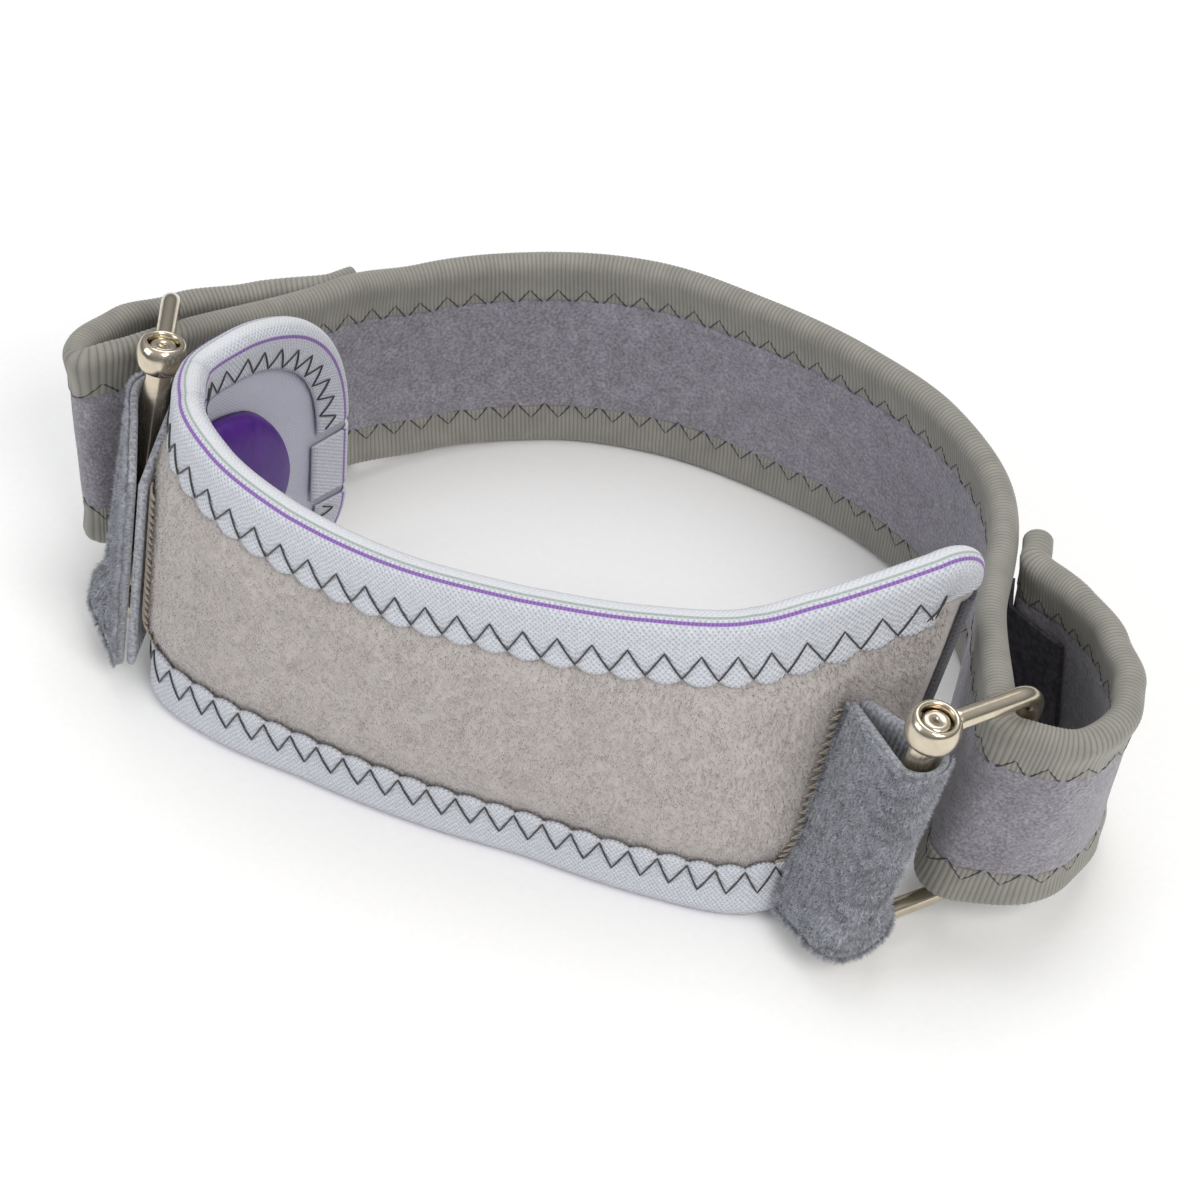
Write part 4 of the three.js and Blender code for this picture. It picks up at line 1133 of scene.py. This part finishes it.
def tab_lines(side, levels):
    """Middle line of a tab at some levels from 0 to 1: from its sewn front end round the pin
    and back to its sewn back end. Returns an array (points along the line, levels, 3)."""
    along, slant, low, high, out, front = TABS[side]
    pin, up = ring_axes(side)[:2]
    height = low + (high - low) * levels
    foot = pad_place(along + slant * (height - PAD_MID), height, out)

    def level_at(hang):
        bottom = TAB_BACK_BOTTOM + (TAB_FRONT_BOTTOM - TAB_BACK_BOTTOM) * hang
        return bottom + (TAB_TOP - bottom) * levels

    reach = unit((pin + level_at(0)[:, None] * up - foot) * [1, 1, 0])
    turned = np.column_stack([-reach[:, 1], reach[:, 0], np.zeros(len(reach))]) * front
    fold = []
    for hang, turn in zip(FOLD_HANG, np.radians(np.linspace(100, -100, len(FOLD_HANG)))):
        level = level_at(hang)
        flare = smooth((TAB_BACK_BOTTOM + FLARE_STEP - level) / FLARE_STEP)
        radius = (PIN_RADIUS + (EYE_RADIUS - PIN_RADIUS) * flare + 0.6 + TAB_HALF)[:, None]
        away = reach * np.cos(turn) + turned * np.sin(turn)
        fold.append(pin + level[:, None] * up + radius * away)
    first, last = foot + turned * (TAB_HALF + 0.15), foot - turned * (TAB_HALF + 0.15)
    lead = [first + (fold[0] - first) * share for share in (0.0, 0.33, 0.67)]
    back = [last + (fold[-1] - last) * share for share in (0.67, 0.33, 0.0)]
    return np.array(lead + fold + back)


def tab_skin(side, share, levels, out):
    """Points on a tab: share along its middle line and level, both from 0 to 1, and
    distance out from the middle of its thickness."""
    line = tab_lines(side, levels)
    dense, way = centripetal(line, share * (len(line) - 1))
    way = unit(way * [1, 1, 0], TINY)
    normal = np.stack([-way[..., 1], way[..., 0], np.zeros(way.shape[:-1])], axis=-1)
    return dense + normal * np.asarray(out)[..., None]


def tab_piece(side, material):
    """A tab: its middle line thickened both ways, at levels from bottom to top, with rounded
    thin borders."""
    levels = np.concatenate([[0.0, 0.008], np.linspace(0.02, 0.98, 40), [0.992, 1.0]])
    share = np.linspace(0, 1, 90)
    border = (np.abs(levels - 0.5) - 0.48).clip(0) / 0.02
    thick = TAB_HALF * np.sqrt(np.clip(1 - border ** 2, 0.25, 1))
    thick = np.broadcast_to(thick, (len(share), len(levels)))
    one, two = (tab_skin(side, share, levels, out) for out in (thick, -thick))
    rows = np.concatenate([one, two[::-1]], axis=0).transpose(1, 0, 2)
    around = there_and_back(share * TAB_AROUND)
    return closed_shell(f"tab_{side}_webbing", rows, material, levels * TAB_TALL, around)


def tab_outward(side):
    """1 or -1: which side of a tab's middle line is its front."""
    level, share = np.array([0.5]), np.array([0.08])
    front, back = (tab_lines(side, level)[k, 0] for k in (0, -1))
    one = tab_skin(side, share, level, 1.0)[0, 0] - tab_skin(side, share, level, 0.0)[0, 0]
    return 1.0 if np.dot(one, front - back) > 0 else -1.0


def tab_pile(side, count, seed, material):
    """Pile on a tab's outer side and over its fold, thicker along its top and bottom borders and
    its sewn front end.
    """
    rng = np.random.default_rng(seed)
    last_share, last_level = 238, 158
    grid_share = np.linspace(0.0, 0.66, last_share + 2)
    grid_level = np.linspace(0, 1, last_level + 2)
    face = tab_outward(side)
    skin = tab_skin(side, grid_share, grid_level, TAB_HALF * face)
    base = tab_skin(side, grid_share, grid_level, 0.0)
    normals = (skin - base) / TAB_HALF
    border = rng.random(count) < 0.22
    i = rng.uniform(0, 1, count) * last_share
    j = rng.uniform(0, 1, count) * last_level
    edge = np.where(rng.random(count) < 0.5, 0.0, last_level)
    beside = rng.random(count) < 0.5
    inside = edge + np.sign(last_level / 2 - edge) * rng.random(count)
    j = np.where(border & beside, inside, j)
    i = np.where(border & (j > 2) & (j < last_level - 2), rng.random(count) * 4, i)
    a, b = i.astype(int), j.astype(int)
    fa, fb = (i - a)[:, None], (j - b)[:, None]
    spot = (skin[a, b] * (1 - fa) * (1 - fb) + skin[a + 1, b] * fa * (1 - fb)
            + skin[a, b + 1] * (1 - fa) * fb + skin[a + 1, b + 1] * fa * fb)
    up = unit(skin[a, b + 1] - skin[a, b])
    tuft = lumps(i * 0.35, j * 0.35, seed + 2, 3.5)
    sense = (rng.normal(-0.1, 0.7, count) + tuft)[:, None]
    ahead = unit(skin[a + 1, b] - skin[a, b])
    push = np.where(j < 3, -1.2, np.where(j > last_level - 3, 1.2, 0.0))[:, None]
    stray = (rng.normal(0, 0.6, count) + lumps(i * 0.35, j * 0.35, seed + 3, 3.0))[:, None]
    combed = up * (sense + push) + ahead * stray
    combed = unit(combed - ahead * np.where(i < 4, 1.2, 0.0)[:, None])
    return nap(f"tab_{side}_pile", spot, normals[a, b], combed, 1.2, 0.13,
               (0.35, 0.95), seed + 1, material)


def tab_seam(side, material):
    """The band of stitches along a tab's sewn edge: a tight zigzag on the pad's face."""
    along0, slant, low, high, _, _ = TABS[side]
    sign = np.sign(along0)
    height, shift, lift = zigzag(low + 2.5, high - 1.0, 1.45, -0.4, 3.4, per_leg=6)
    along = along0 + slant * (height - PAD_MID) - sign * shift
    out = cover_out(along, height) + 0.75 + 0.25 * lift
    path = pad_place(along, height, out)
    normal = pad_place(along, height, out + 1) - path
    return tube(f"tab_{side}_seam", path, normal, 0.2, THREAD_SIDES, material)


def plush_pile(count, length, material):
    """Pile over the pad's outer face, combed down and to the right, and swirled a little."""
    rng = np.random.default_rng(21)
    along = rng.uniform(-94, 84, count * 2)
    low, high = pad_limits(along, 0)
    bare = high - low - 2 * TAPE_HIDES
    height = low + TAPE_HIDES + rng.random(count * 2) * bare
    keep = bare > 1.0
    keep &= rng.random(count * 2) < (bare / 40).clip(0, 1)
    along, height = along[keep][:count], height[keep][:count]

    def face(a, b):
        return pad_place(a, b, cover_out(a, b))

    ta, tb, normal = face_axes(face, along, height)
    swirl = 0.45 * lumps(along, height, 31, 17)
    combed = ta * np.cos(swirl - 1.0)[:, None] + tb * np.sin(swirl - 1.0)[:, None]
    combed = unit(combed - (combed * normal).sum(axis=1, keepdims=True) * normal)
    roots = face(along, height)
    outward = roots - pad_place(along, height, cover_out(along, height) - 1)
    inwards = (normal * outward).sum(axis=1, keepdims=True) < 0
    normal = np.where(inwards, -normal, normal)
    return nap("pad_pile", roots, normal, combed, length, 0.12, (0.3, 0.8), 22, material)


# Operators


def colours():
    """The colour settings."""
    return bpy.context.scene.strap_colours


def sizes():
    """The size settings."""
    return bpy.context.scene.strap_sizes


class STRAP_OT_strap(bpy.types.Operator):
    """Make the long strap, its tapes and stitches, and give the hook patches their material"""

    bl_idname = "patella.long_strap"
    bl_label = "Long strap"

    def execute(self, context):
        tints = colours()
        stitch = sizes().stitch / MM
        body = strap_body(brushed_velour(tints), stitch)
        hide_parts("strap")
        tape = ribbed_stretch_tape(tints)
        for name, sign in (("top", 1), ("bottom", -1)):
            piece = strap_tape(f"strap_{name}_tape", sign, tape, stitch)
            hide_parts(f"strap_{name}_binding")
        thread = spun_thread("dark spun polyester thread", tints.dark_thread)
        for name, sign in (("top", 1), ("bottom", -1)):
            for word, face in (("near", 1), ("far", -1)):
                piece = strap_stitches(f"strap_{name}_{word}_stitches", face, sign, thread, stitch)
        hook = moulded_hook(tints)
        for side in ("right", "left"):
            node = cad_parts[f"hook_patch_{side}"]
            node.data.materials.clear()
            node.data.materials.append(hook)
        return {"FINISHED"}


class STRAP_OT_pad(bpy.types.Operator):
    """Make the pad: plush face, lining, gel cushion, tapes and stitches"""

    bl_idname = "patella.pad"
    bl_label = "Pad"

    def execute(self, context):
        tints = colours()
        stitch = sizes().stitch / MM
        cover = pad_layer(
            "pad_plush", cover_out,
            lambda a, h: np.full(np.broadcast(a, h).shape, -COVER_DEEP), brushed_plush(tints))
        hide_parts("pad_cover")
        # Plush fibres at 1.15 times the plush's colour at the root and 1.6 times at the tip:
        # painted highlight that makes up for the fibres' shade on each other, with the darker root
        # as painted shade
        fibre = pile_fibre("plush pile fibre", tone(tints.plush, 1.15), tone(tints.plush, 1.6),
                           0.16, 0.04)
        pile = plush_pile(sizes().fibres, sizes().pile / MM, fibre)
        lining = pad_layer(
            "pad_knit_lining",
            lambda a, h: np.full(np.broadcast(a, h).shape, LINING_OUT),
            lambda a, h: LINING_OUT - LINING_DEEP - 0.12 * lumps(a, h, 6, 9),
            knitted_lining(tints))
        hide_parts("pad_lining")
        flat, area = lining_cut()
        cushion = cushion_piece(cast_gel(tints))
        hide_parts("gel_cushion")
        thread = spun_thread("charcoal spun polyester thread", tints.dark_thread)
        knit = knitted_elastic(tints, "knitted polyester elastic", (-1.75, 3.6))
        for name, upper, first, last in (("top", True, 0.0, 0.0), ("bottom", False, 0.0, 0.6)):
            s, line = edge_path(upper, first, last, 0.32)
            piece = pad_tape(f"pad_{name}_tape", line, s, knit, stitch)
            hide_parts(f"pad_{name}_binding")
            for word, low, high, out in (("face", 5.6, 10.0, RIM_FRONT + 0.12),
                                         ("inner", 4.2, 7.6, RIM_BACK - 0.1)):
                sewn = pad_stitches(
                    f"pad_{name}_{word}_stitches", line, s, thread, stitch, low, high, out)
        # The right end's tape gets a dark charcoal front half: partly the colour of the foam core
        # at that end, partly painted shade where the end turns in between the pad and the strap
        for side, sign, end, lip in (("right", 1, RIGHT_END, linear("#4b4b51")),
                                     ("left", -1, LEFT_END, None)):
            along = np.array(sign * end["reach"])
            bottom = float(lower_edge(along)) + end["lower"] + 2.0
            top = float(upper_edge(along)) - end["upper"] - 2.0
            height = np.linspace(bottom, top, 60)
            line = np.column_stack([np.full(60, along), height])
            material = knitted_elastic(tints, f"knitted elastic end {side}", (3.6,), lip)
            piece = pad_tape(f"pad_end_{side}_tape", line, height - bottom, material, stitch,
                             lip=2 * RIM_RADIUS - 2.6 + SCALLOP, back=9.0, ruffle=0.0)
            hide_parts(f"pad_end_binding_{side}")
        return {"FINISHED"}


class STRAP_OT_rings(bpy.types.Operator):
    """Make both rings with their eyes and pins"""

    bl_idname = "patella.rings"
    bl_label = "Rings"

    def execute(self, context):
        nickel = polished_nickel(colours())
        for side in ("right", "left"):
            wire = ring_piece(side, nickel)
            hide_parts(f"ring_{side}")
            for word, height in (("upper", RING_HEIGHT / 2), ("lower", -RING_HEIGHT / 2)):
                eye = lathe(f"ring_{side}_{word}_eye", eye_profile(), height, side, nickel)
            pin = lathe(f"pin_{side}_rod", pin_profile(), 0.0, side, nickel)
            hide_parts(f"pin_{side}")
        return {"FINISHED"}


class STRAP_OT_tabs(bpy.types.Operator):
    """Make both webbing tabs with their pile and sewn edges"""

    bl_idname = "patella.tabs"
    bl_label = "Tabs"

    def execute(self, context):
        tints = colours()
        webbing = loop_webbing(tints)
        # Tab fibres at half the tab's colour at the root, painted shade, and 2.1 times it at the
        # tip, painted highlight
        fibre = pile_fibre("loop pile fibre", tone(tints.tab, 0.5), tone(tints.tab, 2.1), 0.5, 0.34)
        thread = spun_thread("beige spun polyester thread", tints.beige_thread)
        for side, seed in (("right", 51), ("left", 61)):
            tab = tab_piece(side, webbing)
            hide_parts(f"tab_{side}")
            pile = tab_pile(side, TAB_FIBRES, seed, fibre)
            seam = tab_seam(side, thread)
        return {"FINISHED"}


def area_light(name, place, aim, size, power, tint):
    """A square soft light that points at a place, in metres and watts."""
    data = bpy.data.lights.new(name, "AREA")
    data.energy = power
    data.size = size
    data.color = tint
    light = bpy.data.objects.new(name, data)
    light.location = place
    light.rotation_euler = (Vector(aim) - Vector(place)).to_track_quat("-Z", "Y").to_euler()
    bpy.context.scene.collection.objects.link(light)


class STRAP_OT_stage(bpy.types.Operator):
    """Make the floor, the studio lights and the camera"""

    bl_idname = "patella.stage"
    bl_label = "Stage"

    def execute(self, context):
        scene = context.scene
        mesh = bpy.data.meshes.new("floor")
        mesh.from_pydata([(-4, -4, 0), (4, -4, 0), (4, 4, 0), (-4, 4, 0)], [], [(0, 1, 2, 3)])
        mesh.materials.append(matt_paper())
        floor = bpy.data.objects.new("floor", mesh)
        scene.collection.objects.link(floor)
        world = bpy.data.worlds.new("studio")
        world.use_nodes = True
        tree = world.node_tree
        tree.nodes.clear()
        place = add_node(tree, "ShaderNodeTexCoord")
        height = add_node(tree, "ShaderNodeSeparateXYZ", {0: place.outputs["Generated"]})
        sky = ramp(tree, height.outputs[2], [(0.0, linear("#8f9094")), (0.25, linear("#b9babd")),
                                             (0.7, linear("#ffffff"))])
        glow = add_node(tree, "ShaderNodeBackground", {"Color": sky, "Strength": 0.60})
        add_node(tree, "ShaderNodeOutputWorld", {"Surface": glow.outputs[0]})
        scene.world = world
        aim = (0.0, 0.0, 0.03)
        area_light("softbox_right", (0.75, -0.35, 0.75), aim, 0.5, 6.4, (1.0, 0.985, 0.96))
        area_light("softbox_left", (-0.6, -0.75, 0.6), aim, 0.6, 3.4, (0.95, 0.97, 1.0))
        area_light("softbox_top", (-0.1, 0.35, 0.95), aim, 0.7, 3.5, (1.0, 1.0, 1.0))
        azimuth, elevation, distance = np.radians(36), np.radians(42), 0.560
        target = ([0.0, 0.0, 22.0] + SHIFT) * MM
        back = np.array([np.sin(azimuth) * np.cos(elevation), -np.cos(azimuth) * np.cos(elevation),
                         np.sin(elevation)])
        data = bpy.data.cameras.new("camera")
        data.lens = 105.9
        data.sensor_width = 36.0
        camera = bpy.data.objects.new("camera", data)
        camera.location = target + back * distance
        camera.rotation_euler = Vector(-back).to_track_quat("-Z", "Y").to_euler()
        scene.collection.objects.link(camera)
        scene.camera = camera
        scene.view_settings.view_transform = "Standard"
        return {"FINISHED"}


class STRAP_PT_panel(bpy.types.Panel):
    """Lists the pieces and the settings"""

    bl_idname = "STRAP_PT_panel"
    bl_label = "Patella strap"
    bl_space_type = "VIEW_3D"
    bl_region_type = "UI"
    bl_category = "Patella strap"

    def draw(self, context):
        for group in (context.scene.strap_colours, context.scene.strap_sizes):
            for key in group.__annotations__:
                self.layout.prop(group, key)
        for operator in OPERATORS:
            self.layout.operator(operator.bl_idname)


OPERATORS = (STRAP_OT_strap, STRAP_OT_pad, STRAP_OT_rings, STRAP_OT_tabs, STRAP_OT_stage)
CLASSES = (StrapColours, StrapSizes, *OPERATORS, STRAP_PT_panel)


def register():
    for cls in CLASSES:
        bpy.utils.register_class(cls)
    bpy.types.Scene.strap_colours = PointerProperty(type=StrapColours)
    bpy.types.Scene.strap_sizes = PointerProperty(type=StrapSizes)


def unregister():
    del bpy.types.Scene.strap_sizes
    del bpy.types.Scene.strap_colours
    for cls in reversed(CLASSES):
        bpy.utils.unregister_class(cls)


def main():
    """Registers the add-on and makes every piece."""
    register()
    bpy.ops.patella.long_strap()
    bpy.ops.patella.pad()
    bpy.ops.patella.rings()
    bpy.ops.patella.tabs()
    bpy.ops.patella.stage()


if __name__ == "__main__":
    main()
